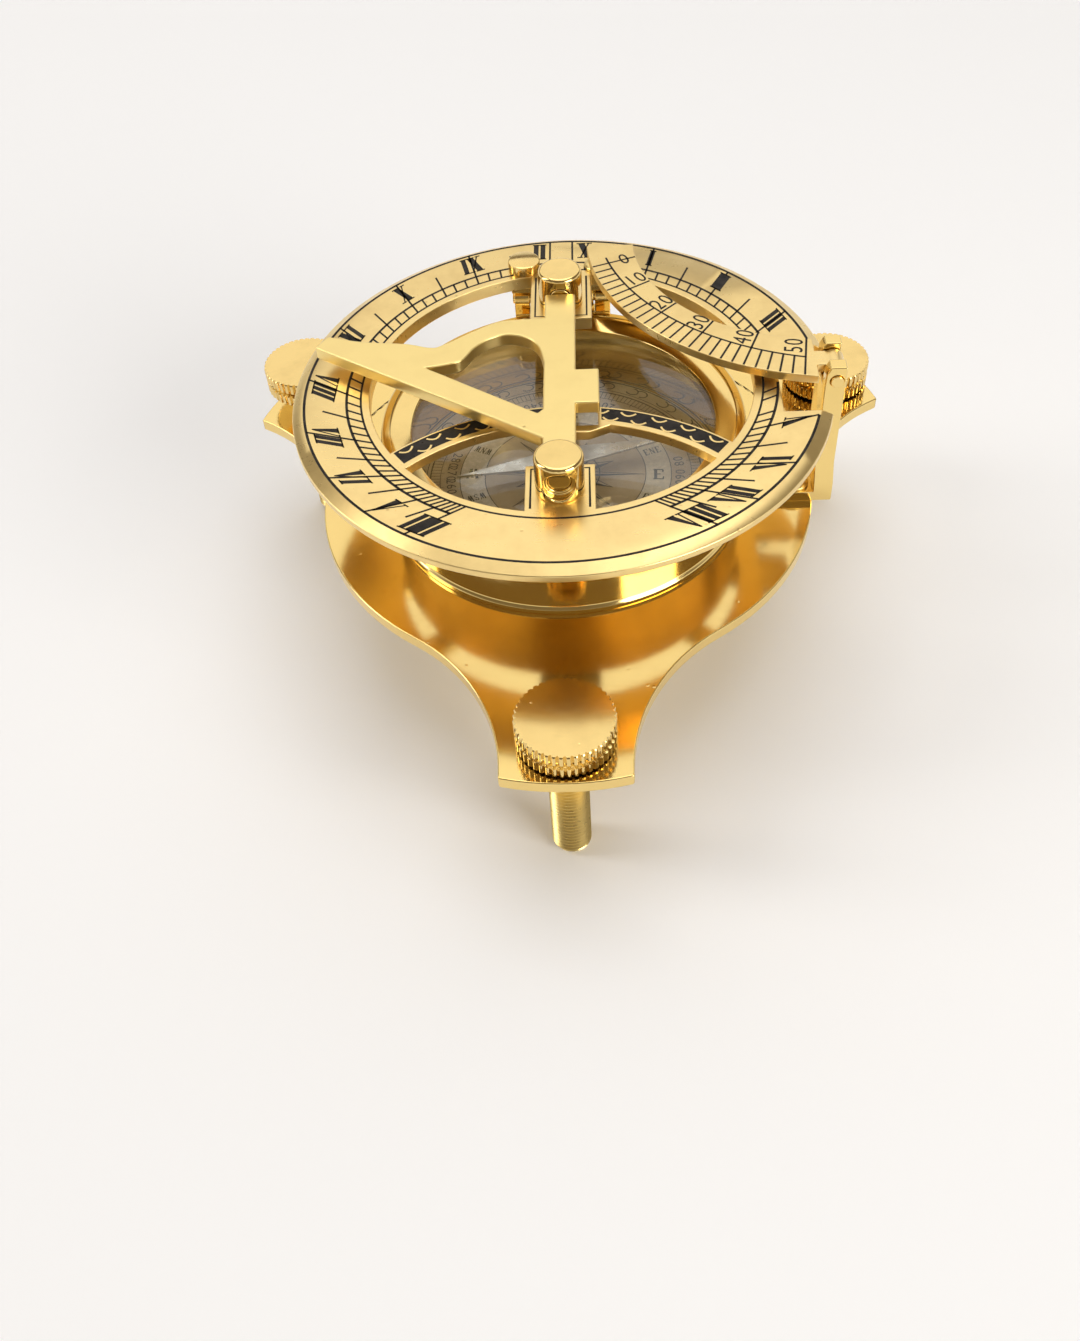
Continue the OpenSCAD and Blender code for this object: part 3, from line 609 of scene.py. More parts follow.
# %% Compass case and the ring over its glass
CASE_STEPS = 240
glass_low, glass_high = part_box("glass")
CASE_R = (case_high.x - case_low.x)/2/MM
CASE_H = (case_high.z - case_low.z)/MM
WALL_R = CASE_R - 0.4
GLASS_R = (glass_high.x - glass_low.x)/2/MM
GLASS_SEAT = (glass_low.z - case_low.z)/MM
GLASS_TOP = (glass_high.z - case_low.z)/MM
CARD_R = (card_high.x - card_low.x)/2/MM
CARD_SEAT = (card_low.z - case_low.z)/MM
HOLD_TOP = (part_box("glass_ring")[1].z - case_low.z)/MM
HOLD_BORE = GLASS_R - 2.9
foot_bead = [(0, 0), (CASE_R - 0.1, 0), (CASE_R, 0.12), (CASE_R, 0.75), (CASE_R - 0.12, 0.95),
             (WALL_R + 0.08, 1.12), (WALL_R, 1.3)]
lip = [(WALL_R, CASE_H - 0.6), (WALL_R - 0.12, CASE_H - 0.22), (WALL_R - 0.42, CASE_H - 0.02),
       (WALL_R - 0.6, CASE_H)]
inside = [(GLASS_R + 0.15, CASE_H), (GLASS_R + 0.02, CASE_H - 0.1), (GLASS_R + 0.02, GLASS_SEAT),
          (CARD_R + 0.12, GLASS_SEAT), (CARD_R + 0.02, GLASS_SEAT - 0.1),
          (CARD_R + 0.02, CARD_SEAT), (0, CARD_SEAT)]
case_piece = finish_piece("turned_case", lathe(foot_bead + lip + inside, PLATE, CASE_STEPS), "base",
                          polished)
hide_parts("compass_case")
hold_section = [(HOLD_BORE, GLASS_TOP), (GLASS_R, GLASS_TOP), (GLASS_R, HOLD_TOP),
                (GLASS_R - 0.3, HOLD_TOP), (GLASS_R - 0.55, HOLD_TOP - 0.1),
                (HOLD_BORE + 0.15, GLASS_TOP + 0.45), (HOLD_BORE, GLASS_TOP + 0.32),
                (HOLD_BORE, GLASS_TOP)]
hold_piece = finish_piece("turned_glass_ring", lathe(hold_section, PLATE, CASE_STEPS), "base",
                          polished)
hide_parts("glass_ring")
print("case wall radius", round(WALL_R, 2), "mm")

# %% [markdown]
# A flat disc of clear glass covers the compass. A thin surface would be enough to catch
# reflections, but only a closed disc bends the view as real glass does. Its shadow is
# made nearly clear, because light that is bent twice would reach the card only as noise.

# %% Glass
glass, glass_tree, glass_shader = start_material("clear_glass")
glass_shader.inputs["Base Color"].default_value = (0.97, 0.99, 0.98, 1)
glass_shader.inputs["Roughness"].default_value = 0.015
glass_shader.inputs["Transmission Weight"].default_value = 1.0
glass_shader.inputs["IOR"].default_value = 1.5
clear = node(glass_tree, "ShaderNodeBsdfTransparent", Color=(0.95, 0.96, 0.95, 1))
light_path = glass_tree.nodes.new("ShaderNodeLightPath")
mix_shaders(glass_tree, light_path.outputs["Is Shadow Ray"], glass_shader.outputs[0],
            clear.outputs[0], glass_tree.nodes["Material Output"].inputs["Surface"])
glass_section = [(0, GLASS_SEAT), (GLASS_R - 0.1, GLASS_SEAT), (GLASS_R, GLASS_SEAT + 0.1),
                 (GLASS_R, GLASS_TOP - 0.1), (GLASS_R - 0.1, GLASS_TOP), (0, GLASS_TOP)]
glass_piece = finish_piece("cut_glass", lathe(glass_section, PLATE, 180), "base",
                           glass)
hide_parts("glass")
print("glass", round(GLASS_TOP - GLASS_SEAT, 2), "mm thick")

# %% [markdown]
# Three steel screws hold the case from below. They could be turned afresh with slots, but
# they show only when the instrument is turned over, so a copy with fine edges is enough.

# %% Case screws
case_screws = dress("case_screws", steel, 0.08)
print("case screw faces:", len(case_screws.data.polygons))

# %% [markdown]
# Engraving and print are flat work: lines, small patches and letters. They could be a
# picture on the surface, but a picture blurs when the camera comes close. So each line
# is a thin strip of faces that follows its points, and each letter is a small mesh. A
# filled engraving is also given depth, down into the metal.

# %% Helpers for engraving and print


def add_strip(bm, points, width, turn=on_dial, h=0.0, closed=False):
    """A flat band of one width along a line of (x, y) points in mm."""
    count = len(points)
    sides = []
    for i, (x, y) in enumerate(points):
        before = points[i - 1] if i or closed else points[i]
        after = points[(i + 1) % count] if i + 1 < count or closed else points[i]
        run = Vector((after[0] - before[0], after[1] - before[1])).normalized()
        left = Vector((-run.y, run.x))*(width/2)
        sides.append([bm.verts.new(turn(x + left.x, y + left.y, h)),
                      bm.verts.new(turn(x - left.x, y - left.y, h))])
    last = count if closed else count - 1
    for i in range(last):
        a, b = sides[i], sides[(i + 1) % count]
        bm.faces.new((a[0], a[1], b[1], b[0]))


def add_patch(bm, points, turn=on_dial, h=0.0):
    """One flat face with the given outline in mm."""
    bm.faces.new([bm.verts.new(turn(x, y, h)) for x, y in points])


def add_text(bm, words, size, middle, angle, turn, h, stretch=1.0):
    """Plain letters round a middle point in mm, reading along an angle in degrees."""
    font = bpy.data.curves.new("letters", "FONT")
    font.body = words
    font.size = size
    font.align_x = "CENTER"
    font.align_y = "CENTER"
    font.resolution_u = 3
    font.space_character = 1.12
    holder = bpy.data.objects.new("letters", font)
    scene.collection.objects.link(holder)
    flat = bpy.data.meshes.new_from_object(holder)
    bpy.data.objects.remove(holder)
    c, s = math.cos(math.radians(angle)), math.sin(math.radians(angle))
    for vert in flat.vertices:
        across, up = vert.co.x*stretch, vert.co.y
        vert.co = turn(middle[0] + across*c - up*s, middle[1] + across*s + up*c, h)
    bm.from_mesh(flat)
    bpy.data.meshes.remove(flat)


def face_up(bm):
    """Turns every flat face to the sky."""
    bmesh.ops.recalc_face_normals(bm, faces=bm.faces)
    for face in bm.faces:
        if face.normal.z < 0:
            face.normal_flip()


def thicken(bm, depth=0.05):
    """Gives the flat filling of an engraving its depth, down into the metal."""
    face_up(bm)
    down = bmesh.ops.extrude_face_region(bm, geom=bm.faces[:], use_keep_orig=True)["geom"]
    moved = [item for item in down if isinstance(item, bmesh.types.BMVert)]
    bmesh.ops.translate(bm, verts=moved, vec=(0, 0, -depth*MM))
    bmesh.ops.recalc_face_normals(bm, faces=bm.faces)


print("engraving helpers ready")

# %% [markdown]
# The compass card is a disc of printed paper that has yellowed unevenly. One flat colour
# would look like plastic, so a slow noise mixes two tones of it. Both tones are darker than
# the yellowed paper itself: they also carry painted shade, because the card lies deep in
# the case under the ring. The inks and the black wax of the engraving are mixed in the
# same way, with less difference between the tones.
# The wax is melted in and wiped level, so it is dull, with few bright spots.

# %% Card paper, inks and black wax


def ink_material(name, colour, rough):
    """Flat printing ink or paint with a little unevenness."""
    made, tree, shader = start_material(name)
    worn = ramp_node(tree, noise_node(tree, place_on_piece(tree), 1500, 3, 0.6), 0.45, 0.8)
    faded = [min(1, part*1.3 + 0.03) for part in colour]
    link(tree, two_tone(tree, worn, colour, faded), shader.inputs["Base Color"])
    shader.inputs["Roughness"].default_value = rough
    return made


ink = ink_material("card_ink", (0.012, 0.01, 0.009), 0.7)
cream = ink_material("card_cream", (0.5, 0.41, 0.28), 0.75)
card_paper, card_tree, card_shader = start_material("dial_card")
yellowing_and_shade = ramp_node(card_tree, noise_node(card_tree, place_on_piece(card_tree), 140, 5, 0.6), 0.4, 0.72)
# Both paper tones hold painted shade from the case round the card, as well as the yellowing.
link(card_tree, two_tone(card_tree, yellowing_and_shade, (0.45, 0.33, 0.19), (0.3, 0.2, 0.1)),
     card_shader.inputs["Base Color"])
card_shader.inputs["Roughness"].default_value = 0.75
wax, wax_tree, wax_shader = start_material("black_enamel")
wax_spots = noise_node(wax_tree, place_on_piece(wax_tree), 700, 4, 0.6)
wax_part = ramp_node(wax_tree, wax_spots, 0.35, 0.75)
link(wax_tree, two_tone(wax_tree, wax_part, (0.009, 0.007, 0.006), (0.03, 0.023, 0.017)),
     wax_shader.inputs["Base Color"])
link(wax_tree, ramp_node(wax_tree, wax_spots, 1.1, -0.3), wax_shader.inputs["Roughness"])
wax_shader.inputs["Specular IOR Level"].default_value = 0.2
print("paper, two inks and wax ready")

# %% [markdown]
# The card lies on the floor of the case. It is laid out from its own middle, in radius
# and degrees clockwise from its north, as a printer would set it out with compasses. It
# lies a few degrees askew in the case, so one angle turns the whole print.

# %% Card disc and its circles
CARD_TURN = 3.2
PRINT_H = 0.012
HUB_R = 5.2
LETTERS_IN = 12.1
LETTERS_OUT = 15.9
LETTER_R = (LETTERS_IN + LETTERS_OUT)/2
DEGREES_IN = 18.9
DEGREES_OUT = 20.4
SCROLLS_IN = 21.0
SCROLLS_OUT = 23.2


def on_card(x, y, h=0.0):
    """A point east and north of the card's middle and h above it, in mm."""
    return CARD + Vector((x, y, h))*MM


def polar(r, clockwise):
    """A point of the card at radius r, clockwise degrees from its north."""
    turn = math.radians(clockwise + CARD_TURN)
    return (r*math.sin(turn), r*math.cos(turn))


def card_circle(bm, r, width, h=PRINT_H):
    """A printed circle."""
    add_strip(bm, [polar(r, 3*i) for i in range(120)], width, on_card, h, True)


card_section = [(0, 0), (CARD_R, 0), (CARD_R, 0.44), (CARD_R - 0.06, 0.5), (0, 0.5)]
card_piece = finish_piece("printed_card", lathe(card_section, axis_of("compass_case", card_low.z), 144),
                          "base", card_paper)
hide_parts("dial_card")
card_print = bmesh.new()
for r, width in ((HUB_R, 0.16), (LETTERS_IN, 0.12), (LETTERS_OUT, 0.12), (DEGREES_IN, 0.1),
                 (DEGREES_OUT, 0.22), (SCROLLS_IN, 0.12), (SCROLLS_OUT, 0.25)):
    card_circle(card_print, r, width)
print("card radius", round(CARD_R, 2), "mm")

# %% [markdown]
# The sixteen points are named in small capitals with serifs, one to three letters each.
# Blender's own font has no serifs, so the four letters are drawn: three from straight
# strokes of their own widths, and the S from one curved stroke.

# %% Letters of the compass points
POINTS = ("N", "NNE", "NE", "ENE", "E", "ESE", "SE", "SSE",
          "S", "SSW", "SW", "WSW", "W", "WNW", "NW", "NNW")
LETTER_SIZES = {1: (2.1, 1.6), 2: (1.6, 2.4), 3: (1.3, 2.6)}
SERIF_LETTERS = {
    "N": [((0.16, 0), (0.16, 1), 0.14), ((0.16, 1), (0.84, 0), 0.28), ((0.84, 0), (0.84, 1), 0.14),
          ((0, 0), (0.34, 0), 0.12), ((0, 1), (0.3, 1), 0.12), ((0.66, 1), (1, 1), 0.12)],
    "E": [((0.22, 0), (0.22, 1), 0.28), ((0, 0), (0.95, 0), 0.14), ((0.2, 0.52), (0.68, 0.52), 0.14),
          ((0, 1), (0.9, 1), 0.14), ((0.93, 0), (0.95, 0.28), 0.14), ((0.88, 0.74), (0.9, 1), 0.14)],
    "W": [((0.06, 1), (0.3, 0), 0.26), ((0.3, 0), (0.5, 0.95), 0.14), ((0.5, 0.95), (0.72, 0), 0.26),
          ((0.72, 0), (0.96, 1), 0.14), ((-0.08, 1), (0.24, 1), 0.12), ((0.82, 1), (1.08, 1), 0.12)]}
S_CURVE = [(0.82, 0.8), (0.7, 0.94), (0.46, 1), (0.24, 0.93), (0.16, 0.76), (0.24, 0.62), (0.5, 0.51),
           (0.76, 0.4), (0.84, 0.24), (0.74, 0.07), (0.5, 0), (0.28, 0.05), (0.15, 0.22)]


def letter_strokes(letter):
    """The strokes of a printed capital: points in a box of one by one, and a width."""
    if letter == "S":
        return [(S_CURVE, 0.2)]
    return [([start, end], thick) for start, end, thick in SERIF_LETTERS[letter]]


def print_letters(bm, letters, middle, angle):
    """Small printed capitals round a middle point, reading along an angle in degrees."""
    tall, wide = LETTER_SIZES[len(letters)]
    c, s = math.cos(math.radians(angle)), math.sin(math.radians(angle))
    step = wide/(len(letters) + 0.25*(len(letters) - 1))
    for i, letter in enumerate(letters):
        start = 1.25*step*i - wide/2
        for points, thick in letter_strokes(letter):
            put = [(start + u*step, (v - 0.5)*tall) for u, v in points]
            add_strip(bm, [(middle[0] + u*c - v*s, middle[1] + u*s + v*c) for u, v in put],
                      thick*step, on_card, PRINT_H)


for i, letters in enumerate(POINTS):
    print_letters(card_print, letters, polar(LETTER_R, 22.5*i), 90 - 22.5*i - CARD_TURN)
print("compass points:", len(POINTS))

# %% [markdown]
# Inside the letters stands the wind star, each ray half black and half drawn in outline.
# Outside them run the degrees, read from outside the card, and a border of scrolls. All
# of it repeats, so short loops print it: a hand-drawn copy would be no truer. A paler
# band lies under the letters, between paper and print.

# %% Star, degrees and scrolls
FIGURE_R = 17.3
SCROLL_R = (SCROLLS_IN + SCROLLS_OUT)/2
SCROLL_SHIFT = 3.2
for degree in range(0, 360, 2):
    inner = DEGREES_IN if degree % 10 else DEGREES_IN - 0.5
    add_strip(card_print, [polar(inner, degree), polar(DEGREES_OUT, degree)], 0.1, on_card, PRINT_H)
for degree in [*range(0, 360, 20), 90, 270]:
    add_text(card_print, str(degree), 2.1, polar(FIGURE_R, degree), 180 - degree - CARD_TURN,
             on_card, PRINT_H)
for i in range(16):
    tip = 11.9 if i % 4 == 0 else (10.4 if i % 2 == 0 else 7.8)
    valley = 3.0 if i % 2 == 0 else 4.2
    middle = 22.5*i
    dark = [polar(0.2, middle), polar(valley, middle + 11.25), polar(tip, middle)]
    add_patch(card_print, dark, on_card, PRINT_H)
    light = [polar(tip, middle), polar(valley, middle - 11.25)]
    add_strip(card_print, light, 0.13, on_card, PRINT_H)
for i in range(48):
    inwards = i % 2
    middle = 7.5*i + SCROLL_SHIFT*inwards
    bulge = -0.75 if inwards else 0.75
    turns = [math.radians(a) for a in range(-60, 200, 20)]
    curl = [polar(SCROLL_R + bulge*math.cos(t), middle + 2.6*math.sin(t)) for t in turns]
    add_strip(card_print, curl, 0.22, on_card, PRINT_H)
face_up(card_print)
finish_piece("card_printing", card_print, "base", ink)
cream_band = bmesh.new()
card_circle(cream_band, LETTER_R, 3.7, 0.006)
finish_piece("card_letter_band", cream_band, "base", cream)
print("star, degrees and 48 scrolls printed")

# %% [markdown]
# The needle is a long diamond of magnetised steel with bevelled flanks, balanced on a
# brass cap that runs on a hard point in the middle of the card. Its steel could share the
# brass finish, but it was never turned or filed, so two slow tones are all it needs.

# %% Needle, cap and pivot
needle_steel, needle_tree, needle_shader = start_material("needle_steel")
needle_shader.inputs["Metallic"].default_value = 1.0
needle_wear = noise_node(needle_tree, place_on_piece(needle_tree), 420, 4, 0.6)
needle_part = ramp_node(needle_tree, needle_wear, 0.35, 0.7)
link(needle_tree, two_tone(needle_tree, needle_part, (0.6, 0.57, 0.52), (0.4, 0.36, 0.3)),
     needle_shader.inputs["Base Color"])
link(needle_tree, ramp_node(needle_tree, needle_wear, -0.2, 2.2), needle_shader.inputs["Roughness"])
needle_piece = dress("compass_needle", needle_steel, 0.09)
for part in ("needle_cap", "needle_pivot"):
    dress(part, polished, 0.08)
print("needle faces:", len(needle_piece.data.polygons))

# %% [markdown]
# Brackets and hinges are filed from bar. Their screws have low domed heads with a slot
# that is cut with a saw. A dark bar would do for the slot from far off. Here two planes
# cut the head along the slot's walls, and the faces between them are pushed down, so that
# the slot has real walls and a floor.

# %% Brackets, hinges and slotted screws
HEAD_R = 2.1
HEAD_H = 0.75
SLOT_HALF = 0.24
SLOT_FLOOR = 0.28


def faces_above(bm, height):
    """The faces whose middle lies above a height."""
    return [face for face in bm.faces if face.calc_center_median().z > height]


def slotted_screw(bm, seat, under, slot_turn):
    """Adds a turned screw with a sawn slot. Its head stands on a seat, given in metres."""
    section = [(1.2, -under), (1.2, 0), (HEAD_R - 0.06, 0), (HEAD_R, 0.07), (HEAD_R, 0.4),
               (HEAD_R - 0.12, 0.55), (HEAD_R - 0.45, HEAD_H - 0.06), (HEAD_R - 0.9, HEAD_H),
               (0, HEAD_H)]
    made = lathe(section, seat, 48)
    across = Vector((-math.sin(slot_turn), math.cos(slot_turn), 0))
    for side in (SLOT_HALF, -SLOT_HALF):
        top = faces_above(made, seat.z + 0.3*MM)
        geom = set(top)
        geom |= {edge for face in top for edge in face.edges}
        geom |= {vert for face in top for vert in face.verts}
        bmesh.ops.bisect_plane(made, geom=list(geom), plane_co=seat + across*side*MM,
                               plane_no=across, dist=1e-8)
    between = [face for face in faces_above(made, seat.z + 0.5*MM) if face.normal.z > 0.15
               and abs((face.calc_center_median() - seat).dot(across)) < SLOT_HALF*MM]
    sunk = bmesh.ops.extrude_face_region(made, geom=between)["geom"]
    bmesh.ops.delete(made, geom=between, context="FACES_ONLY")
    for item in sunk:
        if isinstance(item, bmesh.types.BMVert):
            item.co.z = seat.z + SLOT_FLOOR*MM
    bmesh.ops.recalc_face_normals(made, faces=made.faces)
    mesh = bpy.data.meshes.new("one_screw")
    made.to_mesh(mesh)
    made.free()
    bm.from_mesh(mesh)
    bpy.data.meshes.remove(mesh)


def small_screws(node_name, seats, under, turns):
    """Slotted screws on their seats, as one piece that stands for a CAD node."""
    bm = bmesh.new()
    bm.verts.layers.float.new("lathe")
    for seat, turn in zip(seats, turns):
        slotted_screw(bm, seat, under, turn)
    body = frame["nodes"][node_name]["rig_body"]
    piece = finish_piece(node_name + "_slotted", bm, body, screw, 0.05)
    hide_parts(node_name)


for part in ("ring_bracket", "arc_bracket", "ring_hinge_leaf"):
    dress(part, cast, 0.18, None, 3)
for part in ("ring_hinge_pin", "arc_hinge_pin"):
    dress(part, polished, 0.12)
print("two brackets, a hinge leaf and two hinge pins")

# %% [markdown]
# Two screws hold the ring's hinge leaf from above, beside the north post. The east one is
# slotted like the others, and the west one has a plain turned cap. Both are one node of
# the part, so the cap only rides along, and the slotted piece stands for the node.

# %% Screws of the hinge leaf
leaf_low, leaf_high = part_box("leaf_screws")
leaf_y = (leaf_low.y + leaf_high.y)/2
leaf_x = leaf_high.x - PLATE.x - HEAD_R*MM
CAP_R = (leaf_high.y - leaf_low.y)/2/MM
CAP_H = (leaf_high.z - DIAL.z)/MM
east_leaf = Vector((PLATE.x + leaf_x, leaf_y, DIAL.z))
west_leaf = Vector((PLATE.x - leaf_x, leaf_y, DIAL.z))
small_screws("leaf_screws", [east_leaf], 3.0, (1.1,))
cap_section = [(1.2, -3.0), (1.2, 0), (CAP_R - 0.1, 0), (CAP_R, 0.1), (CAP_R, CAP_H - 0.25),
               (CAP_R - 0.08, CAP_H - 0.08), (CAP_R - 0.25, CAP_H), (0, CAP_H)]
finish_piece("leaf_cap", lathe(cap_section, west_leaf, 64), frame["nodes"]["leaf_screws"]["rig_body"],
             turned_brass)
print("leaf cap", round(CAP_H, 2), "mm high")

# %% [markdown]
# The north bracket stands on two slotted screws and the east one on a single screw. Their
# slots point in any direction, as screws come to rest when they are tight: slots in line
# would look drawn.

# %% Screws of the brackets
foot_low, foot_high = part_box("ring_bracket_screws")
foot_x = (foot_high.x - foot_low.x)/2 - HEAD_R*MM
foot_z = foot_high.z - HEAD_H*MM
foot_y = (foot_low.y + foot_high.y)/2
small_screws("ring_bracket_screws", [Vector((PLATE.x + s*foot_x, foot_y, foot_z)) for s in (-1, 1)],
             3.7, (0.9, -0.4))
arc_screw_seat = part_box("arc_bracket_screw")[1].z - HEAD_H*MM
small_screws("arc_bracket_screw", [axis_of("arc_bracket_screw", arc_screw_seat)], 3.5, (0.35,))
print("three slotted screws in the brackets")

# %% [markdown]
# The hour ring is engraved before its black is melted in. Its lines could be measured
# off the photograph one by one, but a dial follows a rule. Afternoon and morning lines
# start from two roots, as far apart as the gnomon's two edges, and spread by the tangent
# of the sun's angle. So each line is worked out, and stops where the notch is cut.

# %% Hour ring and the lines of its dial
dress("hour_ring", dial, 0.14, DIAL, 2)
ROOT_X = 1.75
ROOT_Y = -19.0
HOUR_FACTOR = 0.92
BAND_IN = 28.22
BAND_OUT = 30.22
HALF_TICK = 33.6
RIM_LINE = 36.2
LAST_HOUR = 8
THIN = 0.3
THICK = 0.38
INK_H = 0.015
NOTCH_X = 30.4
NOTCH_Y = (-8.5, 6.8)


def ray_to_circle(start, heading, circle, far=True):
    """Where a ray from a start point meets a circle (x, y, radius): its far or near side."""
    x, y = start[0] - circle[0], start[1] - circle[1]
    along = -x*heading[0] - y*heading[1]
    half = math.sqrt(along*along - (x*x + y*y - circle[2]**2))
    run = along + half if far else along - half
    return (start[0] + run*heading[0], start[1] + run*heading[1])


def on_hour_line(hours, r):
    """Where the line of an hour (east positive, west negative) meets radius r."""
    side = 1 if hours >= 0 else -1
    sun = math.radians(15*abs(hours))
    turn = side*math.atan2(HOUR_FACTOR*math.sin(sun), math.cos(sun))
    return ray_to_circle((side*ROOT_X, ROOT_Y), (math.sin(turn), math.cos(turn)), (0, 0, r))


def in_notch(x, y):
    """True where the notch for the arc's bracket has cut the ring away."""
    return x > NOTCH_X - 0.2 and NOTCH_Y[0] < y < NOTCH_Y[1]


def add_arc(bm, r, start, end, width):
    """A circular line on the dial, from one angle to another, that stops at the notch."""
    count = max(8, int(abs(end - start)/1.5))
    run = []
    for i in range(count + 1):
        a = math.radians(start + (end - start)*i/count)
        point = (r*math.cos(a), r*math.sin(a))
        if in_notch(*point):
            if len(run) > 1:
                add_strip(bm, run, width, on_dial, INK_H)
            run = []
        else:
            run.append(point)
    if len(run) > 1:
        add_strip(bm, run, width, on_dial, INK_H)


def hour_angle(hours, r):
    """The angle from east, in degrees, of an hour line at radius r."""
    x, y = on_hour_line(hours, r)
    return math.degrees(math.atan2(y, x))


lines = bmesh.new()
add_arc(lines, BAND_OUT, hour_angle(LAST_HOUR, BAND_OUT), hour_angle(-LAST_HOUR, BAND_OUT) % 360, THICK)
add_arc(lines, RIM_LINE, -90, 270, THICK)
add_arc(lines, BAND_IN, -90, 270, THIN)
for side in (1, -1):
    for step in range(LAST_HOUR*6 + 1):
        hours = side*max(step/6, 1e-6)
        far = BAND_OUT
        if step % 6 == 0:
            far = RIM_LINE
        elif step % 3 == 0:
            far = HALF_TICK
        start, end = on_hour_line(hours, BAND_IN), on_hour_line(hours, far)
        if not (in_notch(*end) or in_notch(*start)):
            add_strip(lines, [start, end], THIN, on_dial, INK_H)
thicken(lines)
finish_piece("dial_lines", lines, "ring", wax)
print("hour lines to hour", LAST_HOUR, "on both sides, six cells an hour")

# %% [markdown]
# The numerals are cut with a flat graver: thick and thin strokes with level feet. A
# font's numerals would be too even, so each is built from the three letters I, V and X,
# whose strokes are four-sided patches. Neighbouring feet join into one line.

# %% Letters I, V and X
STEM = 0.76
BROAD = 1.0
HAIR = 0.24
LETTER_GAP = 0.3
LETTER_WIDE = 2.3


def thin_bar(left, right, y):
    """The thin level line that closes the ends of the strokes."""
    return [(left, y), (right, y), (right, y + HAIR), (left, y + HAIR)]


def letter_i(tall):
    """The strokes of an I and its width: neighbours join into one line at each end."""
    wide = STEM + LETTER_GAP
    left = LETTER_GAP/2
    stem = [(left, 0), (left + STEM, 0), (left + STEM, tall), (left, tall)]
    return [stem, thin_bar(0, wide, 0), thin_bar(0, wide, tall - HAIR)], wide


def letter_v(tall):
    """The strokes of a V and its width: the thick one runs to a point."""
    wide, apex = LETTER_WIDE, 1.25
    foot = [(apex + HAIR/2, 0), (apex - HAIR/2, 0)]
    thick = [(0.1, tall), (0.1 + BROAD, tall)] + foot
    thin = [(wide - 0.3 - HAIR, tall), (wide - 0.3, tall)] + foot
    return [thick, thin, thin_bar(-0.1, BROAD + 0.3, tall - HAIR),
            thin_bar(wide - 0.8, wide, tall - HAIR)], wide


def letter_x(tall):
    """The strokes of an X and its width."""
    wide = LETTER_WIDE
    thick = [(0.1, tall), (0.1 + BROAD, tall), (wide - 0.1, 0), (wide - 0.1 - BROAD, 0)]
    thin = [(wide - 0.35 - HAIR, tall), (wide - 0.35, tall), (0.35 + HAIR, 0), (0.35, 0)]
    return [thick, thin, thin_bar(-0.1, BROAD + 0.3, tall - HAIR), thin_bar(wide - 0.85, wide, tall - HAIR),
            thin_bar(0, 0.85, 0), thin_bar(wide - BROAD - 0.3, wide + 0.1, 0)], wide


LETTERS = {"I": letter_i, "V": letter_v, "X": letter_x}
print("strokes of an X:", len(letter_x(1)[0]))

# %% [markdown]
# Each numeral follows the ring with its letters, while its strokes run towards the root
# of the hour lines, so it leans a little. That could be done with two turns of an object.
# Two directions are simpler: letters are set along the one, and strokes rise along the
# other.

# %% Numerals round the dial
HOURS_EAST = ("I", "II", "III", "IIII", "V", "VI", "VII", "VIII")
HOURS_WEST = ("XI", "X", "IX", "VIII", "VII", "VI", "V", "IIII")
NUMERAL_R = 33.55
NUMERAL_TALL = 4.2
NOON_Y = 33.45
NOON_PARTS = (("X", 3.7), ("II", -3.4))


def add_numeral(bm, word, x, y, along, up):
    """A Roman numeral whose middle lies at (x, y): letters follow along, strokes run up."""
    strokes = []
    pen = 0.0
    for mark in word:
        made, wide = LETTERS[mark](NUMERAL_TALL)
        strokes += [[(u + pen, v) for u, v in stroke] for stroke in made]
        pen += wide
    for stroke in strokes:
        middled = [(u - pen/2, v - NUMERAL_TALL/2) for u, v in stroke]
        add_patch(bm, [(x + u*along.x + v*up.x, y + u*along.y + v*up.y) for u, v in middled],
                  on_dial, INK_H)


numerals = bmesh.new()
for side, words in ((1, HOURS_EAST), (-1, HOURS_WEST)):
    for i, word in enumerate(words):
        x, y = on_hour_line(side*(i + 1), NUMERAL_R)
        if not in_notch(x + 1.5, y):
            to_root = Vector((side*ROOT_X - x, ROOT_Y - y)).normalized()
            add_numeral(numerals, word, x, y, Vector((-y, x)).normalized(), to_root)
for word, x in NOON_PARTS:
    add_numeral(numerals, word, x, NOON_Y, Vector((-1, 0)), Vector((0, -1)))
thicken(numerals)
finish_piece("dial_numerals", numerals, "ring", wax)
print("numerals", NUMERAL_TALL, "mm tall")

# %% [markdown]
# A crescent bridge crosses the ring, and its upper face is filled with black between two
# narrow brass borders. Little brass crescents are left standing in the black. Cutting
# them out of the filling would need booleans. It is cleaner to lay the filling as one
# band of faces and to set the crescents on it, a hair higher.

# %% Black band of the bridge and its crescents
NORTH_EDGE = (34.0, -39.5)
SOUTH_EDGE = (29.3, -38.4)
NORTH_BORDER = 0.35
SOUTH_BORDER = 0.85
SLOT_WEST = -1.3
SLOT_EAST = 5.15
BAND_STARTS = ((1, SLOT_EAST + 0.45), (-1, 0.35 - SLOT_WEST))
BAND_CELLS = 28
BORE_MARGIN = 0.35
CRESCENT_HALF = 1.05
CRESCENT_SAG = 0.65
CRESCENT_ROWS = ((33.2, (9.7, 16.3, 23.9, 31.3, 38.9)), (31.8, (12.4, 19.5, 27.2, 35.15)))


def edge_height(edge, inset, x):
    """How far north a crescent edge (radius, middle) lies at x, moved by a border."""
    r = edge[0] + inset
    return edge[1] + math.sqrt(r*r - x*x)


def edge_end(edge, inset):
    """How far east a crescent edge meets the ring's bore."""
    x = 0.0
    while math.hypot(x, edge_height(edge, inset, x)) < RING_BORE - BORE_MARGIN:
        x += 0.02
    return x


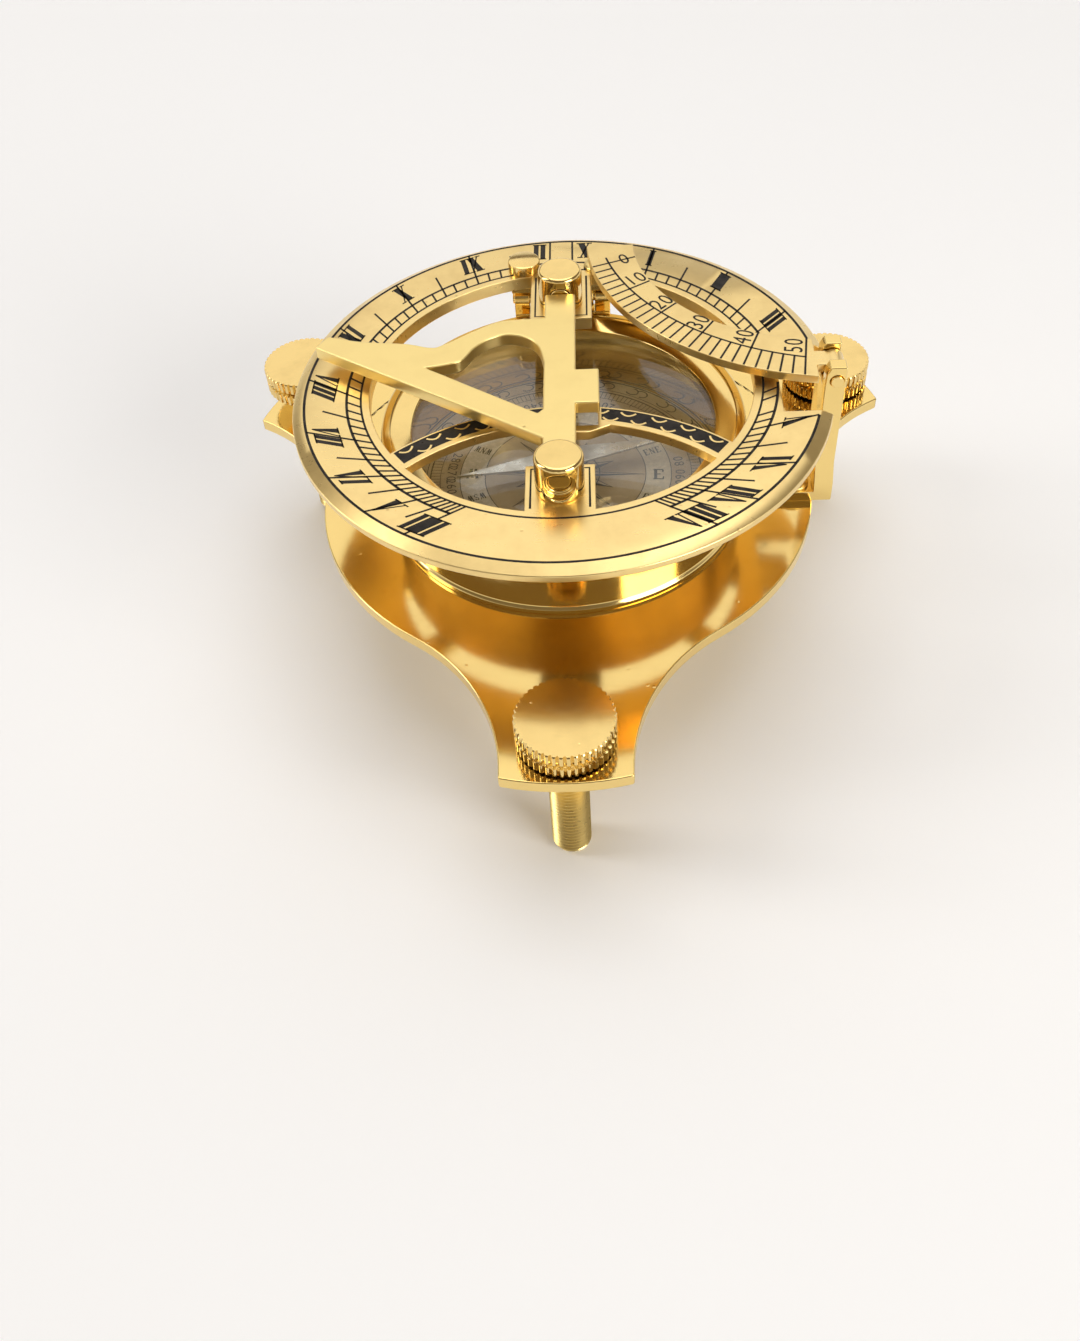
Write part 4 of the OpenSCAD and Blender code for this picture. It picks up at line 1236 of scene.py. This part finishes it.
band = bmesh.new()
for side, start in BAND_STARTS:
    top_end = edge_end(NORTH_EDGE, -NORTH_BORDER)
    low_end = edge_end(SOUTH_EDGE, SOUTH_BORDER)
    columns = []
    for i in range(BAND_CELLS + 1):
        top_x = start + (top_end - start)*i/BAND_CELLS
        low_x = start + (low_end - start)*i/BAND_CELLS
        pair = ((side*top_x, edge_height(NORTH_EDGE, -NORTH_BORDER, top_x)),
                (side*low_x, edge_height(SOUTH_EDGE, SOUTH_BORDER, low_x)))
        columns.append([band.verts.new(on_dial(*point, INK_H)) for point in pair])
    for a, b in zip(columns, columns[1:]):
        band.faces.new((a[0], a[1], b[1], b[0]))
thicken(band)
finish_piece("bridge_enamel", band, "ring", wax)
crescents = bmesh.new()
bow = [(CRESCENT_HALF*u, -CRESCENT_SAG*(1 - u*u)) for u in (-1, -0.7, -0.35, 0, 0.35, 0.7, 1)]
for side in (1, -1):
    for r, angles in CRESCENT_ROWS:
        for from_north in angles:
            x = side*r*math.sin(math.radians(from_north))
            y = NORTH_EDGE[1] + r*math.cos(math.radians(from_north))
            tilt = -side*math.radians(from_north - 3)
            c, s = math.cos(tilt), math.sin(tilt)
            add_strip(crescents, [(x + u*c - v*s, y + u*s + v*c) for u, v in bow], 0.28, on_dial, 0.035)
thicken(crescents, 0.06)
finish_piece("bridge_crescents", crescents, "ring", dial)
print("bridge crescents:", 2*sum(len(angles) for r, angles in CRESCENT_ROWS))

# %% [markdown]
# The two tabs that carry the posts have a thin inlaid outline, open towards the ring. One
# strip that turns two corners makes each of them, as one cut of the graver would.

# %% Outlines of the tabs
TAB_HALF = 4.6
TAB_LINE = 0.75
TAB_ENDS = ((-26.3, -17.9 - TAB_LINE), (26.3, 15.2 + TAB_LINE))
tabs = bmesh.new()
for far, near in TAB_ENDS:
    x = TAB_HALF - TAB_LINE
    add_strip(tabs, [(-x, far), (-x, near), (x, near), (x, far)], THIN, on_dial, INK_H)
thicken(tabs)
finish_piece("tab_lines", tabs, "ring", wax)
print("tab outlines:", len(TAB_ENDS))

# %% [markdown]
# The posts are turned and then drilled across for the gnomon's pins, so their copies are
# marked by the lathe round their own axes. The gnomon is cast and filed: flat on its
# faces, with a thin edge to throw the shadow. A spun or sculpted form would lose the
# flat faces, so it keeps its CAD form with rounded edges.

# %% Posts, gnomon and its pins
for part in ("front_post", "back_post"):
    dress(part, polished, 0.22, axis_of(part, 0.0), 3)
gnomon_piece = dress("gnomon", gnomon_brass, 0.24, None, 3)
for part in ("gnomon_pin_front", "gnomon_pin_back"):
    dress(part, polished, 0.12)
print("gnomon faces:", len(gnomon_piece.data.polygons))

# %% [markdown]
# The latitude arc folds flat over the ring. Its scale was cut with the arc standing, so
# the marks run from the hinge up: a line for every two degrees and a figure for every
# ten, which stands on its long line. The marks lean a little more from each to the next,
# as in the photograph, so a rule with a start and a step sets both place and lean.

# %% Latitude arc and its scale
dress("latitude_arc", dial, 0.14, None, 2)
arc_mesh = frame["nodes"]["latitude_arc"].data
face_z = max(vert.co.z for vert in arc_mesh.vertices if vert.co.x < PLATE.x + 30*MM)
ARC_TOP = (face_z - DIAL.z)/MM
EDGE_GAP = 0.12
OUTER_EDGE = (41.1, 32.8, 37.1 - EDGE_GAP)
INNER_EDGE = (38.1, 31.6, 26.9 + EDGE_GAP)
SCALE_LINE = (42.94, 36.63, 37.14)
FIRST_MARK = 196.7
MARK_STEP = 1.19
FIRST_LEAN = 3.3
LEAN_STEP = 0.05
FIGURE_TALL = 2.7
FIGURE_GAP = 0.25
FIGURE_SHIFT = 0.35


def on_arc(x, y, h=0.0):
    """A point east and north of the ring's middle, on the face of the latitude arc."""
    return DIAL + Vector((x, y, ARC_TOP + h))*MM


def mark_foot(degrees):
    """The point of a latitude mark on the scale line."""
    turn = math.radians(FIRST_MARK + MARK_STEP*degrees)
    return (SCALE_LINE[0] + SCALE_LINE[2]*math.cos(turn), SCALE_LINE[1] + SCALE_LINE[2]*math.sin(turn))


scale = bmesh.new()
add_strip(scale, [mark_foot(0.5*step) for step in range(-4, 101)], THIN, on_arc, INK_H)
for degrees in range(0, 52, 2):
    foot = mark_foot(degrees)
    lean = math.radians(FIRST_MARK + MARK_STEP*degrees + FIRST_LEAN + LEAN_STEP*degrees)
    outwards = (math.cos(lean), math.sin(lean))
    start, end = ray_to_circle(foot, outwards, OUTER_EDGE), foot
    if degrees % 10 == 0:
        dx, dy = -outwards[0], -outwards[1]
        end = ray_to_circle(foot, (dx, dy), INNER_EDGE, far=False)
        side = 0.0 if degrees == 0 else FIGURE_TALL/2 + FIGURE_GAP
        middle = ((end[0] + foot[0])/2 + FIGURE_SHIFT*dx - side*dy,
                  (end[1] + foot[1])/2 + FIGURE_SHIFT*dy + side*dx)
        add_text(scale, str(degrees), FIGURE_TALL*1.4, middle, math.degrees(lean) + 180, on_arc, INK_H, 0.82)
    add_strip(scale, [start, end], THIN, on_arc, INK_H)
thicken(scale)
finish_piece("latitude_scale", scale, "arc", wax)
print("latitude arc face at", round(ARC_TOP, 2), "mm above the dial")
